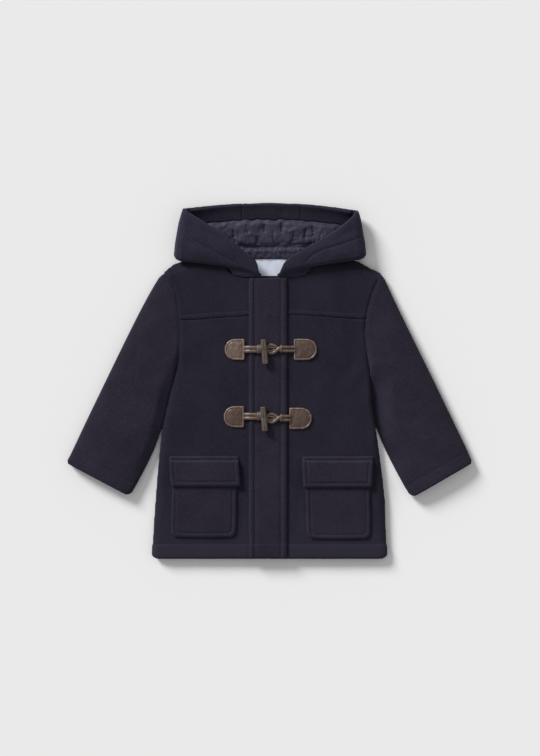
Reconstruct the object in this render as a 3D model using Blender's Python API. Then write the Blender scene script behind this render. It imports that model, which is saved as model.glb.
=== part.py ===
"""A baby's hooded duffle coat, lying on its back: felted wool over quilted wadding.

Every size below is in millimetres and turned to metres as a point is placed. X runs to the right of the
coat as it is seen from above, Y from hem to hood, Z up from the surface that it lies on.
"""

import math

import bmesh
import bpy
from mathutils import Vector

MM = 0.001
GAP = 0.3  # between pieces that are sewn or laid together
ARMHOLE_GAP = 0.8  # the armhole's two edges are chords of one curve, so they need a little more

# Body, flat: two panels on each other
HEM_Y = -258.0
SEAM_Z = 5.2  # height of the side seams, so each panel is 5 thick: wool 2, wadding and lining 3
BODY_TOP = 10.6  # top of the fronts at their edges
BODY_CROWN = 2.6  # the fronts rise by this towards the middle
EDGE_ROLL = 9.0  # width of the rounded side edge
UNDERARM_Y = 38.0
SHOULDER_Y = 156.0
SHOULDER_FROM_X = 66.0  # the shoulder line runs outward from here, the neck lies inward
FRONT_EDGE_X = -2.2  # the fronts meet here, under the placket
HEM_BAND = 20.5
HEM_RISE = 0.7
ROLL_STEPS = tuple(EDGE_ROLL * (1 - math.cos(math.radians(a))) for a in (0, 30, 60, 90))
HEM_STEPS = (0.0, 1.2, 3.6, HEM_BAND - 1.2, HEM_BAND + 0.6)
UNDER_PLACKET = (0.0, 26.6, 29.6)  # columns of the fronts at the placket's edge
NECK_COLUMNS = (44.0, 50.0, 55.0, 60.0, 66.5)  # columns of the yokes along the neck, from the middle

# Side edge and armhole, hem to shoulder
BODY_EDGE = (  # y, left x, right x
    (-258, -169.5, 169.5),
    (-231, -168.7, 168.3),
    (-173, -164.6, 166.6),
    (-141, -162.2, 163.2),
    (-90, -157.4, 156.4),
    (-66, -154.6, 153.2),
    (-35, -147.8, 147.6),
    (0, -140.4, 146.0),
    (24, -134.6, 145.8),
    (38, -131.6, 143.0),
    (55, -130.2, 140.6),
    (72, -130.6, 138.2),
    (92, -131.8, 140.4),
    (118, -135.6, 147.0),
    (140, -144.2, 154.6),
    (156, -154.2, 162.4),
)
SIDE_KNOTS = (-212.0, -173.0, -141.0, -115.0, -90.0, -66.0, -35.0, 0.0)
ARMHOLE_KNOTS = (24.0, 38.0, 55.0, 72.0, 88.0, 103.0, 118.0, 132.0, 145.0, 156.0)
EDGE_KNOTS = (HEM_Y,) + SIDE_KNOTS + ARMHOLE_KNOTS
NECK_AND_SHOULDER = (  # distance from the middle, front top edge y, back top edge y
    (0, 148.8, 186.2),
    (32, 148.8, 186.0),
    (44, 150.4, 185.4),
    (54, 153.6, 184.6),
    (60, 158.6, 183.8),
    (67, 180.5, 182.4),
    (84, 180.0, 180.0),
    (112, 176.0, 176.0),
    (138, 169.5, 169.5),
    (153, 157.4, 157.4),
    (163, 155.8, 155.8),
)
YOKE_SEAM = ((-135, 87.0), (-30, 93.6), (26, 95.6), (142, 88.6))  # x, y
YOKE_MARGIN = 7.0
YOKE_RISE = 0.6

# Sleeves, flattened tubes: outer and inner edge at each station from armhole to cuff
SLEEVE_LEFT = (  # outer x, outer y, inner x, inner y
    (-154.4, 155.8, -134.0, 32.0),
    (-168.9, 135.0, -137.6, 20.0),
    (-188.5, 97.9, -142.4, -1.5),
    (-209.5, 55.8, -148.4, -27.0),
    (-232.0, 9.4, -154.2, -53.0),
    (-254.5, -37.0, -161.4, -83.0),
    (-273.3, -76.1, -173.2, -111.5),
    (-285.7, -103.0, -190.4, -144.3),
    (-293.8, -118.6, -203.0, -166.8),
)
SLEEVE_RIGHT = (
    (162.6, 155.8, 145.2, 36.0),
    (172.6, 132.5, 148.2, 25.5),
    (191.4, 92.8, 148.6, 4.0),
    (211.0, 52.9, 149.8, -26.8),
    (233.5, 8.0, 153.5, -54.4),
    (255.2, -37.0, 160.4, -82.5),
    (273.3, -74.7, 176.9, -115.3),
    (287.1, -103.0, 192.0, -145.7),
    (293.8, -118.4, 206.3, -168.9),
)
SLEEVE_WALL = 5.4
SLEEVE_MID_HEIGHT = 14.4
CUFF_HEIGHT = 12.6
CUFF_BAND = 17.0
CUFF_RISE = 0.6

# Placket
PLACKET_X = (-29.7, 25.4)
PLACKET_TOP_Y = 148.6
PLACKET_PROFILE = (  # distance from the edge, thickness: a padded welt beside its row of stitching
    (0.0, 1.6),
    (1.6, 3.0),
    (4.6, 3.5),
    (7.6, 2.7),
    (9.2, 2.2),
    (12.0, 2.8),
    (27.6, 3.1),
)

# Patch pockets and their flaps
POCKETS = (  # side, top y, left x, right x, bottom y, left x, right x
    ("left", -122.0, -139.0, -47.2, -227.5, -143.4, -48.0),
    ("right", -122.0, 52.0, 144.6, -229.8, 54.0, 147.4),
)
FLAPS = (
    ("left", -109.9, -145.6, -45.2, -153.0, -142.2, -42.2),
    ("right", -110.2, 47.2, 150.4, -154.6, 49.4, 148.0),
)
POCKET_CORNER = 12.0
POCKET_THICK = 2.8
FLAP_THICK = 3.0
STITCH_IN = 6.0  # row of stitching in from a pocket's or a flap's edge, where the flap starts to lift
STITCHED_EDGE = (  # in from the edge, share of the thickness
    (0.0, 0.55),
    (1.3, 1.0),
    (4.2, 1.08),
    (STITCH_IN, 0.78),
    (7.6, 1.0),
)
EDGE_STEPS = tuple(row[0] for row in STITCHED_EDGE)

# Toggle closures
CLOSURES = (  # name, strap y left, strap y right, toggle x, toggle y
    ("upper", 45.2, 45.6, -7.4, 41.4),
    ("lower", -51.8, -54.4, -7.9, -55.6),
)
PATCHES = (  # name, straight edge x, round end x, top y, bottom y
    ("upper_left", -36.3, -64.8, 59.9, 30.0),
    ("upper_right", 35.6, 68.8, 60.0, 29.7),
    ("lower_left", -36.9, -66.2, -37.4, -67.8),
    ("lower_right", 28.9, 61.4, -39.8, -70.2),
)
PATCH_THICK = 2.2
PATCH_EDGE = ((0.0, 0.5), (0.9, 1.0), (2.6, 0.86), (3.8, 1.0))  # in from the edge, share of the thickness
PATCH_STEPS = tuple(row[0] for row in PATCH_EDGE)
STRAP_WIDTH = 10.4
STRAP_THICK = 2.6
STRAP_PROFILE = ((0.0, 0.4), (1.3, 1.0), (3.6, 1.0), (5.2, 0.45))  # in from an edge, share of thickness
STRAP_REACH = (-12.0, 15.2)  # where the straps end: against the toggle and beyond the loop
LOOP_CENTRE_X = 3.8
LOOP_RADIUS = 7.4
LOOP_CORD = 2.6
TOGGLE_LENGTH = 35.5
TOGGLE_WIDTH = 9.0
TOGGLE_HEIGHT = 8.0
TOGGLE_SEAT = 1.05  # the toggle's lowest line above the placket, so that its round side rests on the loop
TOGGLE_TILT = math.radians(4.9)

# Neck label, left bare
LABEL_X = (-22.5, 27.0)
LABEL_Y = (151.8, 176.4)
LABEL_THICK = 0.9

# Hood, a flattened bag: half rows from the neck seam (0) to the opening's top edge (1). The front edge is
# the opening's side, the fold is where the side panel turns down, and the foot is where it meets the floor.
HOOD_WALL = 3.0
SEAM_STAND = 0.8  # the hood's wool rises this far behind the fronts' neck edge
HOOD_STATIONS = (0.0, 0.05, 0.10, 0.15, 0.20, 0.25, 0.30, 0.38, 0.47, 0.56, 0.65, 0.74, 0.82, 0.90, 0.96, 1.0)
HOOD_LEFT = (  # station, edge x, edge y, edge z, fold x, fold y, fold z, foot y, foot z, fold depth, bow
    (0.00, -11.5, 149.6, 12.2, -60.0, 181.6, 12.6, 187.2, 0.0, 0.0, 2.2),
    (0.10, -13.0, 151.2, 14.0, -99.0, 178.5, 12.8, 187.4, 0.0, 0.0, 0.9),
    (0.20, -15.0, 152.6, 16.0, -130.0, 172.8, 15.2, 185.5, 0.0, 8.0, 0.54),
    (0.30, -16.5, 158.0, 18.4, -128.5, 177.5, 19.6, 187.0, 0.0, 10.0, 0.75),
    (0.45, -21.0, 175.6, 20.6, -127.2, 192.5, 23.4, 198.0, 0.0, 10.0, 0.9),
    (0.60, -42.0, 191.0, 21.8, -124.8, 209.0, 24.2, 211.0, 0.0, 9.8, 1.0),
    (0.75, -72.0, 215.5, 22.4, -122.4, 226.5, 24.2, 227.0, 0.4, 9.2, 1.0),
    (0.90, -105.0, 235.4, 22.0, -120.8, 240.5, 23.4, 241.6, 4.0, 6.6, 1.0),
    (1.00, -120.6, 245.2, 20.6, -122.2, 246.4, 20.4, 249.4, 11.0, 3.0, 1.0),
)
HOOD_RIGHT = (
    (0.00, 11.5, 149.6, 12.2, 61.0, 181.6, 12.6, 187.2, 0.0, 0.0, 2.2),
    (0.10, 13.0, 151.2, 14.0, 100.0, 178.5, 12.8, 187.4, 0.0, 0.0, 0.8),
    (0.20, 15.0, 152.8, 16.4, 131.4, 175.0, 16.2, 185.8, 0.0, 8.0, 0.66),
    (0.30, 16.8, 159.4, 19.4, 130.0, 179.0, 22.0, 188.0, 0.0, 10.0, 0.8),
    (0.45, 25.4, 175.6, 20.6, 128.8, 194.0, 23.4, 199.0, 0.0, 10.0, 0.9),
    (0.60, 45.0, 187.4, 21.8, 126.2, 209.0, 24.2, 211.0, 0.0, 9.8, 1.0),
    (0.75, 75.0, 204.8, 22.4, 124.6, 224.5, 24.2, 226.0, 0.4, 9.0, 1.0),
    (0.90, 108.0, 226.4, 22.0, 124.0, 236.6, 23.4, 239.0, 4.0, 6.6, 1.0),
    (1.00, 123.6, 241.0, 20.6, 125.4, 242.6, 20.4, 246.4, 11.0, 3.0, 1.0),
)
HOOD_MIDDLE = (  # station, y, z, on the line down the middle of the back
    (0.00, 186.8, 0.0),
    (0.10, 191.5, 0.0),
    (0.20, 196.0, 0.0),
    (0.30, 201.5, 0.0),
    (0.45, 210.0, 0.0),
    (0.60, 221.0, 0.0),
    (0.75, 233.0, 0.0),
    (0.90, 248.0, 0.9),
    (1.00, 258.0, 3.2),
)
GUSSET_X = (-40.0, 45.4)
FACING_FROM = 0.745  # station where the facing's lower edge lies
FACING_X = (-116.0, 118.0)
FACING_THICK = 2.4
LINING_THICK = 3.0
LINING_FOOT = (177.2, 1.2)  # where it ends on the back, above the label, and its thickness there
LINING_LIP = 1.4  # it turns down into the hood this far behind the back's neck edge
QUILT_RISE = 3.4
QUILT_SEAM_Y = 193.5
QUILT_SEAM_WIDTH = 4.0
LINING_REACH = (  # station, half width: it stays inside the fold
    (0.0, 50.0),
    (0.1, 56.0),
    (0.2, 78.0),
    (0.3, 104.0),
    (0.4, 113.0),
    (0.6, 112.5),
    (0.75, 111.5),
)
LINING_PLEATS = ((-52, 214), (-17, 203), (-8, 219), (17, 220), (36, 205), (53, 214), (64, 219))  # x, y
PLEAT_WIDTH = 4.5
PLEAT_LENGTH = 9.0
PLEAT_DEPTH = 0.6 * QUILT_RISE

WOOL = ("felted wool", (0.021, 0.019, 0.030, 1.0), 0.95)
LINING = ("quilted lining", (0.034, 0.032, 0.052, 1.0), 0.6)
LEATHER = ("leather", (0.075, 0.045, 0.035, 1.0), 0.45)
HORN = ("polished horn", (0.055, 0.042, 0.034, 1.0), 0.35)
SATIN = ("woven satin", (0.78, 0.78, 0.80, 1.0), 0.6)


def between(low, high, t):
    return low + (high - low) * t


def table(rows, key, column):
    """The value of a column at a key, along a smooth curve through the rows."""
    keys = [row[0] for row in rows]
    last = len(rows) - 2
    index = min(max(sum(k <= key for k in keys) - 1, 0), last)
    low, high = rows[index], rows[index + 1]
    span = high[0] - low[0]
    t = min(max((key - low[0]) / span, 0.0), 1.0)
    before = rows[max(index - 1, 0)]
    after = rows[min(index + 2, last + 1)]
    step = (high[column] - low[column]) / span
    start = (high[column] - before[column]) / (high[0] - before[0])
    end = (after[column] - low[column]) / (after[0] - low[0])
    if (start * step) <= 0:
        start = 0.0
    if (end * step) <= 0:
        end = 0.0
    h00 = (1 + 2 * t) * (1 - t) ** 2
    h10 = t * (1 - t) ** 2
    h01 = t * t * (3 - 2 * t)
    h11 = t * t * (t - 1)
    return h00 * low[column] + h10 * span * start + h01 * high[column] + h11 * span * end


def ease(t):
    t = min(max(t, 0.0), 1.0)
    return t * t * (3 - 2 * t)


def nose(distance, width):
    """How much of the full height is left this far in from a rounded edge, from 0 to 1."""
    t = min(max(1 - distance / width, 0.0), 1.0)
    return math.sqrt(1 - t * t)


def edge_x(y, side):
    """The body's side edge and armhole, as chords between the knots that its panels and the sleeves share."""
    column = 1 if side == "left" else 2
    index = min(max(sum(k <= y for k in EDGE_KNOTS) - 1, 0), len(EDGE_KNOTS) - 2)
    low, high = EDGE_KNOTS[index], EDGE_KNOTS[index + 1]
    t = min(max((y - low) / (high - low), 0.0), 1.0)
    return between(table(BODY_EDGE, low, column), table(BODY_EDGE, high, column), t)


def sewn_edge_x(y, side):
    """The body's edge, drawn in by half the gap where the sleeve is sewn to it."""
    inward = ARMHOLE_GAP / 2 * ease((y - UNDERARM_Y + 30) / 20)
    return edge_x(y, side) + (inward if side == "left" else -inward)


def crown(x, y):
    """How far the fronts rise above their edges."""
    across = 1 - (x / 165) ** 2
    along = ease((y - HEM_Y) / 140) * ease((SHOULDER_Y + 22 - y) / 130)
    return BODY_CROWN * max(across, 0) * along


def front_top(x, y):
    """Height of the fronts' upper face, without the rounding at the sides."""
    return BODY_TOP + crown(x, y)


def new_material(name, colour, roughness, metallic=0.0):
    made = bpy.data.materials.new(name)
    made.use_nodes = True
    made.diffuse_color = colour
    shader = made.node_tree.nodes["Principled BSDF"]
    shader.inputs["Base Color"].default_value = colour
    shader.inputs["Roughness"].default_value = roughness
    shader.inputs["Metallic"].default_value = metallic
    return made


def add_object(name, mesh, finish):
    obj = bpy.data.objects.new(name, mesh)
    mesh.materials.append(new_material(name + " " + finish[0], finish[1], finish[2]))
    mesh.shade_smooth()
    mesh.set_sharp_from_angle(angle=math.radians(50))
    bpy.data.collections["hooded duffle coat"].objects.link(obj)
    return obj


def closed_mesh(name, bm):
    """The mesh of a closed body, with its faces pointing out."""
    bmesh.ops.recalc_face_normals(bm, faces=bm.faces[:])
    if bm.calc_volume(signed=True) < 0:
        bmesh.ops.reverse_faces(bm, faces=bm.faces[:])
    mesh = bpy.data.meshes.new(name)
    bm.to_mesh(mesh)
    bm.free()
    return mesh


def add_wall(name, columns, rows, place, finish, tube=False):
    """A closed wall from a grid. place(u, v, face) gives its points: face 0 is underneath or inside."""
    bm = bmesh.new()
    across = bm.verts.layers.float.new("across")
    along = bm.verts.layers.float.new("along")
    bmesh.ops.create_grid(bm, x_segments=columns, y_segments=rows, size=0.5)
    for vert in bm.verts:
        vert[across] = vert.co.x + 0.5
        vert[along] = vert.co.y + 0.5
        if tube:
            turn = 2 * math.pi * vert[across]
            vert.co = (math.cos(turn), math.sin(turn), vert[along])
    if tube:
        bmesh.ops.remove_doubles(bm, verts=bm.verts[:], dist=1e-5)
    inside = set(bm.verts)
    bmesh.ops.extrude_face_region(bm, geom=bm.faces[:])
    for vert in bm.verts:
        face = 0 if vert in inside else 1
        vert.co = Vector(place(vert[across], vert[along], face)) * MM
    return add_object(name, closed_mesh(name, bm), finish)


def spaced(t, count, near, far, length):
    """Turns an even 0 to 1 grid value into a distance: the outer columns stand at the given offsets."""
    index = round(t * count)
    if index < len(near):
        return near[index]
    if count - index < len(far):
        return length - far[count - index]
    first, last = near[-1], length - far[-1]
    steps = count - len(near) - len(far) + 2
    return between(first, last, (index - len(near) + 1) / steps)


def free_side(y):
    """1 on the free side edge, which is rounded, falling to 0 where the sleeve is sewn on."""
    return ease((UNDERARM_Y + 6 - y) / 14)


def beside_placket(x):
    return x < PLACKET_X[0] - 0.6 or x > PLACKET_X[1] + 0.6


def hem_rise(x, y):
    """The turned-up hem is thicker, down from its row of stitching."""
    down = y - HEM_Y
    return HEM_RISE if 1.0 < down < HEM_BAND - 0.6 and beside_placket(x) else 0.0


def upper_height(x, y, side):
    """Upper face of the fronts with its rounding at the side seam, the shoulder and the hem."""
    keep = between(1.0, nose(abs(edge_x(y, side) - x), EDGE_ROLL), free_side(y))
    if abs(x) > SHOULDER_FROM_X:
        keep *= nose(table(NECK_AND_SHOULDER, abs(x), 1) - y, EDGE_ROLL)
    keep *= between(0.72, 1.0, nose(y - HEM_Y, 5.0))
    lowest = SEAM_Z + 1.0
    return lowest + (front_top(x, y) + hem_rise(x, y) - lowest) * keep


def under_height(x, y):
    """Under face of the fronts, which lie on the back."""
    return SEAM_Z + GAP / 2 + max(front_top(x, y) - BODY_TOP - 0.4, 0) * 0.9


def add_front(side):
    sign = -1 if side == "left" else 1
    centre = FRONT_EDGE_X + sign * GAP / 2
    seam = table(YOKE_SEAM, edge_x(88, side), 1) - GAP / 2
    knots = tuple(HEM_Y + step for step in HEM_STEPS) + SIDE_KNOTS + ARMHOLE_KNOTS[:4] + (seam,)
    columns, rows = 9, len(knots) - 1

    def place(u, v, face):
        nominal = knots[round(v * rows)]
        edge = sewn_edge_x(nominal, side)
        x = edge - sign * spaced(u, columns, ROLL_STEPS, UNDER_PLACKET, abs(edge - centre))
        rise = table(YOKE_SEAM, x, 1) - GAP / 2 - seam
        y = nominal + rise * ease(nominal / seam)
        return x, y, upper_height(x, y, side) if face else under_height(x, y)

    return add_wall("front_" + side, columns, rows, place, WOOL)


def add_yoke(side):
    sign = -1 if side == "left" else 1
    centre = FRONT_EDGE_X + sign * GAP / 2
    seam = table(YOKE_SEAM, edge_x(88, side), 1) + GAP / 2
    margin = (seam, seam + 0.9, seam + YOKE_MARGIN - 1.4, seam + YOKE_MARGIN)
    knots = margin + ARMHOLE_KNOTS[5:]
    columns, rows = 13, len(knots) - 1
    far = UNDER_PLACKET + tuple(abs(sign * column - centre) for column in NECK_COLUMNS)

    def place(u, v, face):
        nominal = knots[round(v * rows)]
        edge = sewn_edge_x(nominal, side)
        x = edge - sign * spaced(u, columns, (0.0,), far, abs(edge - centre))
        low = table(YOKE_SEAM, x, 1) + GAP / 2 - seam
        high = table(NECK_AND_SHOULDER, abs(x), 1) - SHOULDER_Y
        above = max(nominal - margin[-1], 0) / (SHOULDER_Y - margin[-1])
        y = nominal + between(low, high, above)
        z = upper_height(x, y, side) if face else under_height(x, y)
        if face and margin[0] + 0.5 < nominal < margin[-1] - 0.5 and beside_placket(x):
            z += YOKE_RISE
        return x, y, z

    return add_wall("yoke_" + side, columns, rows, place, WOOL)


def add_back():
    knots = tuple(HEM_Y + step for step in HEM_STEPS[:3]) + SIDE_KNOTS + ARMHOLE_KNOTS
    columns, rows = 13, len(knots) - 1

    def place(u, v, face):
        nominal = knots[round(v * rows)]
        left, right = sewn_edge_x(nominal, "left"), sewn_edge_x(nominal, "right")
        inward = spaced(u, columns, ROLL_STEPS, ROLL_STEPS, right - left)
        x = left + inward
        high = table(NECK_AND_SHOULDER, abs(x), 2)
        y = nominal + (high - SHOULDER_Y) * ease((nominal - UNDERARM_Y) / (SHOULDER_Y - UNDERARM_Y))
        top = SEAM_Z - GAP / 2
        if face:
            return x, y, top
        keep = between(1.0, nose(min(inward, right - left - inward), EDGE_ROLL), free_side(y))
        if abs(x) > SHOULDER_FROM_X:
            keep *= nose(high - y, EDGE_ROLL)
        keep *= between(0.75, 1.0, nose(y - HEM_Y, 4.0))
        return x, y, (top - 1.0) * (1 - keep)

    return add_wall("back", columns, rows, place, WOOL)


def add_sleeve(side, stations):
    sign = -1 if side == "left" else 1
    around, rows = 20, 11
    numbered = [(index,) + row for index, row in enumerate(stations)]
    last = len(stations) - 1
    band = CUFF_BAND / math.dist(stations[0][:2], stations[last][:2])
    cuff = (0.0, 0.012, band * 0.9, band * 1.05)

    def place(u, v, face):
        t = 1 - spaced(1 - v, rows, cuff, (0.0,), 1.0)
        outer_x, outer_y, inner_x, inner_y = [table(numbered, t * last, column) for column in (1, 2, 3, 4)]
        turn = 2 * math.pi * u
        # Square-shouldered section: flat above and below, round at both edges
        across = (1 - math.copysign(abs(math.cos(turn)) ** 0.55, math.cos(turn))) / 2
        lift = math.copysign(abs(math.sin(turn)) ** 0.5, math.sin(turn))
        height = between(BODY_TOP + 0.3, SLEEVE_MID_HEIGHT, ease(t / 0.3))
        height = between(height, CUFF_HEIGHT, ease((t - 0.5) / 0.5))
        if 1 - band < t < 0.995:
            height += CUFF_RISE
        wall = 0.0 if face else SLEEVE_WALL
        inset = wall / math.dist((outer_x, outer_y), (inner_x, inner_y))
        across = between(inset, 1 - inset, across)
        # The top of the sleeve follows the armhole
        first = stations[0]
        y_hole = between(first[1], first[3], across)
        bow = edge_x(y_hole, side) + sign * ARMHOLE_GAP / 2 - between(first[0], first[2], across)
        fade = (1 - ease(t / 0.34)) ** 1.5
        x = between(outer_x, inner_x, across) + bow * fade
        return x, between(outer_y, inner_y, across), height / 2 + (height / 2 - wall) * lift

    return add_wall("sleeve_" + side, around, rows, place, WOOL, tube=True)


def placket_thickness(inward):
    return table(PLACKET_PROFILE, inward, 1)


def on_fronts(x, y):
    """Height at which something lies on the fronts or on the placket."""
    inward = min(x - PLACKET_X[0], PLACKET_X[1] - x)
    if inward < -2.2 or y > PLACKET_TOP_Y:
        return front_top(x, y)
    rise = PLACKET_PROFILE[2][1] + GAP
    return front_top(x, y) + rise * ease((inward + 2.2) / 1.8)


def add_placket():
    across = tuple(row[0] for row in PLACKET_PROFILE[:-1])
    width = PLACKET_X[1] - PLACKET_X[0]
    along = (0.0, 1.2, 3.6, HEM_BAND - 1.2, HEM_BAND + 0.6)
    columns, rows = 2 * len(across), 16

    def place(u, v, face):
        inward = spaced(u, columns, across, across, width)
        step = spaced(v, rows, along, (0.0, 1.0, 3.0), PLACKET_TOP_Y - HEM_Y)
        x, y = PLACKET_X[0] + inward, HEM_Y + step
        corner = max(3.0 - (PLACKET_TOP_Y - y), 0) * max(1 - inward / 5.0, 0)
        under = front_top(x, y) + GAP + 0.1
        if not face:
            return x + corner, y, under
        thick = placket_thickness(min(inward, width - inward))
        thick *= between(0.6, 1.0, nose(PLACKET_TOP_Y - y, 2.0)) * between(0.55, 1.0, nose(step, 3.6))
        if 1.0 < step < HEM_BAND - 0.6:
            thick += HEM_RISE
        return x + corner, y, under + thick

    return add_wall("placket", columns, rows, place, WOOL)


def rounded(inward_x, inward_y, radius):
    """Moves a point near a square corner on to a round one: gives its new distances from both edges."""
    if inward_x >= radius or inward_y >= radius:
        return inward_x, inward_y
    px, py = radius - inward_x, radius - inward_y
    pull = max(px, py) / math.hypot(px, py)
    return radius - px * pull, radius - py * pull


def add_slab(name, outline, offsets, cells, corners, base, thickness, finish):
    """A flat piece sewn on the coat: its outline runs from a top row to a bottom row, each with two ends."""
    top, top_left, top_right, bottom, bottom_left, bottom_right = outline
    columns, rows = cells
    height = top - bottom

    def place(u, v, face):
        down = spaced(v, rows, offsets, offsets, height)
        left = between(top_left, bottom_left, down / height)
        right = between(top_right, bottom_right, down / height)
        inward = spaced(u, columns, offsets, offsets, right - left)
        edge = min(inward, right - left - inward, down, height - down)
        near_left, near_top = inward < (right - left) / 2, down < height / 2
        radius = corners[(0 if near_top else 2) + (0 if near_left else 1)]
        from_side = inward if near_left else right - left - inward
        from_end = down if near_top else height - down
        from_side, from_end = rounded(from_side, from_end, radius)
        x = left + from_side if near_left else right - from_side
        y = top - from_end if near_top else bottom + from_end
        z = base(x, y)
        return x, y, z + (thickness(edge) if face else 0.0)

    return add_wall(name, columns, rows, place, finish)


def laid_on_fronts(x, y):
    return front_top(x, y) + GAP


def pocket_thickness(inward):
    return POCKET_THICK * table(STITCHED_EDGE, inward, 1)


def flap_thickness(inward):
    return FLAP_THICK * table(STITCHED_EDGE, inward, 1)


def patch_thickness(inward):
    return PATCH_THICK * table(PATCH_EDGE, inward, 1)


def add_pockets():
    low = (2.0, 2.0, POCKET_CORNER, POCKET_CORNER)
    for side, *outline in POCKETS:
        add_slab("pocket_" + side, outline, EDGE_STEPS, (11, 11), low, laid_on_fronts, pocket_thickness, WOOL)


def add_flap(side, outline):
    hinge = outline[0] - STITCH_IN
    lift = POCKET_THICK * 1.1 + GAP + 0.2

    def base(x, y):
        return laid_on_fronts(x, y) + lift * ease((hinge - y) / 1.5)

    add_slab("flap_" + side, outline, EDGE_STEPS, (11, 9), (2.0,) * 4, base, flap_thickness, WOOL)


def add_patches():
    for name, straight, end, top, bottom in PATCHES:
        left, right = min(straight, end), max(straight, end)
        outline = (top, left, right, bottom, left, right)
        tip = (top - bottom) / 2 - 0.01
        corners = (tip, 1.5, tip, 1.5) if end < straight else (1.5, tip, 1.5, tip)
        add_slab("patch_" + name, outline, PATCH_STEPS, (9, 9), corners, laid_on_fronts, patch_thickness,
                 LEATHER)


def add_straps():
    across = tuple(row[0] for row in STRAP_PROFILE)
    columns, rows = 2 * len(across) - 2, 6
    for name, left_y, right_y, toggle_x, toggle_y in CLOSURES:
        for side, middle in (("left", left_y), ("right", right_y)):
            patch = next(row for row in PATCHES if row[0] == name + "_" + side)
            start = patch[1] - math.copysign(GAP, patch[1])
            stop = STRAP_REACH[0 if side == "left" else 1]

            def place(u, v, face):
                inward = spaced(u, columns, across, across[:-1], STRAP_WIDTH)
                x = between(start, stop, spaced(v, rows, (0.0, 0.08, 0.3), (0.0, 0.06), 1.0))
                y = middle - STRAP_WIDTH / 2 + inward
                z = on_fronts(x, middle) + GAP
                share = table(STRAP_PROFILE, min(inward, STRAP_WIDTH - inward), 1)
                return x, y, z + (STRAP_THICK * share if face else 0.0)

            add_wall("strap_" + name + "_" + side, columns, rows, place, LEATHER)


def add_loop(name, middle):
    """The cord's eye, which passes under the toggle."""
    bpy.ops.mesh.primitive_torus_add(
        major_segments=16, minor_segments=6, major_radius=LOOP_RADIUS * MM, minor_radius=LOOP_CORD / 2 * MM)
    obj = bpy.context.object
    z = on_fronts(0, middle) + GAP + LOOP_CORD / 2
    for vert in obj.data.vertices:
        vert.co = (vert.co.x + LOOP_CENTRE_X * MM, vert.co.y * 0.92 + middle * MM, vert.co.z + z * MM)
    mesh = obj.data
    bpy.data.objects.remove(obj)
    mesh.materials.clear()
    return add_object("loop_" + name, mesh, LEATHER)


def add_toggle(name, x, y):
    """A horn stick, flattened below, with blunt ends."""
    bm = bmesh.new()
    bmesh.ops.create_uvsphere(bm, u_segments=12, v_segments=10, radius=1.0)
    z = on_fronts(x, y) + GAP + TOGGLE_SEAT + TOGGLE_HEIGHT / 2
    for vert in bm.verts:
        along = max(min(vert.co.z, 1.0), -1.0)
        girth = math.hypot(vert.co.x, vert.co.y) or 1.0
        reach = math.copysign(abs(along) ** 0.35, along) if abs(along) > 1e-6 else 0.0
        thick = max(1 - abs(reach) ** 16, 0.0) ** 0.5 * (1 - 0.1 * reach * reach)
        side, up = vert.co.x / girth * thick, vert.co.y / girth * thick
        side = side * TOGGLE_WIDTH / 2
        up = up * TOGGLE_HEIGHT / 2
        long = reach * TOGGLE_LENGTH / 2
        turned_x = x + side * math.cos(TOGGLE_TILT) - long * math.sin(TOGGLE_TILT)
        turned_y = y + side * math.sin(TOGGLE_TILT) + long * math.cos(TOGGLE_TILT)
        vert.co = Vector((turned_x, turned_y, z + up)) * MM
    return add_object("toggle_" + name, closed_mesh(name, bm), HORN)


def add_label():
    columns, rows = 6, 3

    def place(u, v, face):
        x = between(LABEL_X[0], LABEL_X[1], u)
        y = between(LABEL_Y[0], LABEL_Y[1], v)
        return x, y, SEAM_Z - GAP / 2 + GAP + (LABEL_THICK if face else 0.0)

    return add_wall("neck_label", columns, rows, place, SATIN)


def hood_rows(side):
    return HOOD_LEFT if side == "left" else HOOD_RIGHT


def hood_back(x, v):
    """A point of the hood's back, which lies on the floor and turns up to the opening's top edge."""
    rows = hood_rows("left" if x < 0 else "right")
    middle_y, middle_z = table(HOOD_MIDDLE, v, 1), table(HOOD_MIDDLE, v, 2)
    share = min((x / table(rows, v, 4)) ** 2, 1.0)
    y = between(middle_y, table(rows, v, 7), share)
    return Vector((x, y, between(middle_z, table(rows, v, 8), share)))


def back_offset(x, v, distance):
    """A point of the hood's back, moved in by a distance."""
    across = hood_back(x + 0.5, v) - hood_back(x - 0.5, v)
    up = hood_back(x, min(v + 0.004, 1.0)) - hood_back(x, max(v - 0.004, 0.0))
    return hood_back(x, v) + distance * across.cross(up).normalized()


def hood_side(a, v, side):
    """A point of a hood's side panel: a runs from the opening's edge over the fold to the gusset's seam."""
    rows = hood_rows(side)
    sign = -1 if side == "left" else 1
    edge = Vector([table(rows, v, column) for column in (1, 2, 3)])
    fold = Vector([table(rows, v, column) for column in (4, 5, 6)])
    foot = hood_back(fold.x, v)
    depth, bow = table(rows, v, 9), table(rows, v, 10)
    if a < 0.4:
        t = a / 0.4
        point = edge.lerp(fold, t)
        point.y = between(edge.y, fold.y, t ** bow)
        seam_y = table(NECK_AND_SHOULDER, abs(point.x), 1) + SEAM_STAND
        point.y = between(seam_y, point.y, min(v / 0.1, 1.0))
        point.z += 2.0 * math.sin(math.pi * t) * ease((v - 0.25) / 0.3)
    elif a < 0.7:
        turn = math.pi * (a - 0.4) / 0.3
        point = fold.lerp(foot, (1 - math.cos(turn)) / 2)
        out = Vector((sign, between(1.0, 0.25, ease((v - 0.1) / 0.1)), 0)).normalized()
        point += out * depth * math.sin(turn)
    else:
        seam = GUSSET_X[0] - GAP / 2 if side == "left" else GUSSET_X[1] + GAP / 2
        point = hood_back(between(foot.x, seam, (a - 0.7) / 0.3), v)
    resting = front_top(point.x, point.y) + GAP + 0.2
    if a < 0.4 and v < 0.16:
        point.z = max(point.z, resting)
    return point


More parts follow.
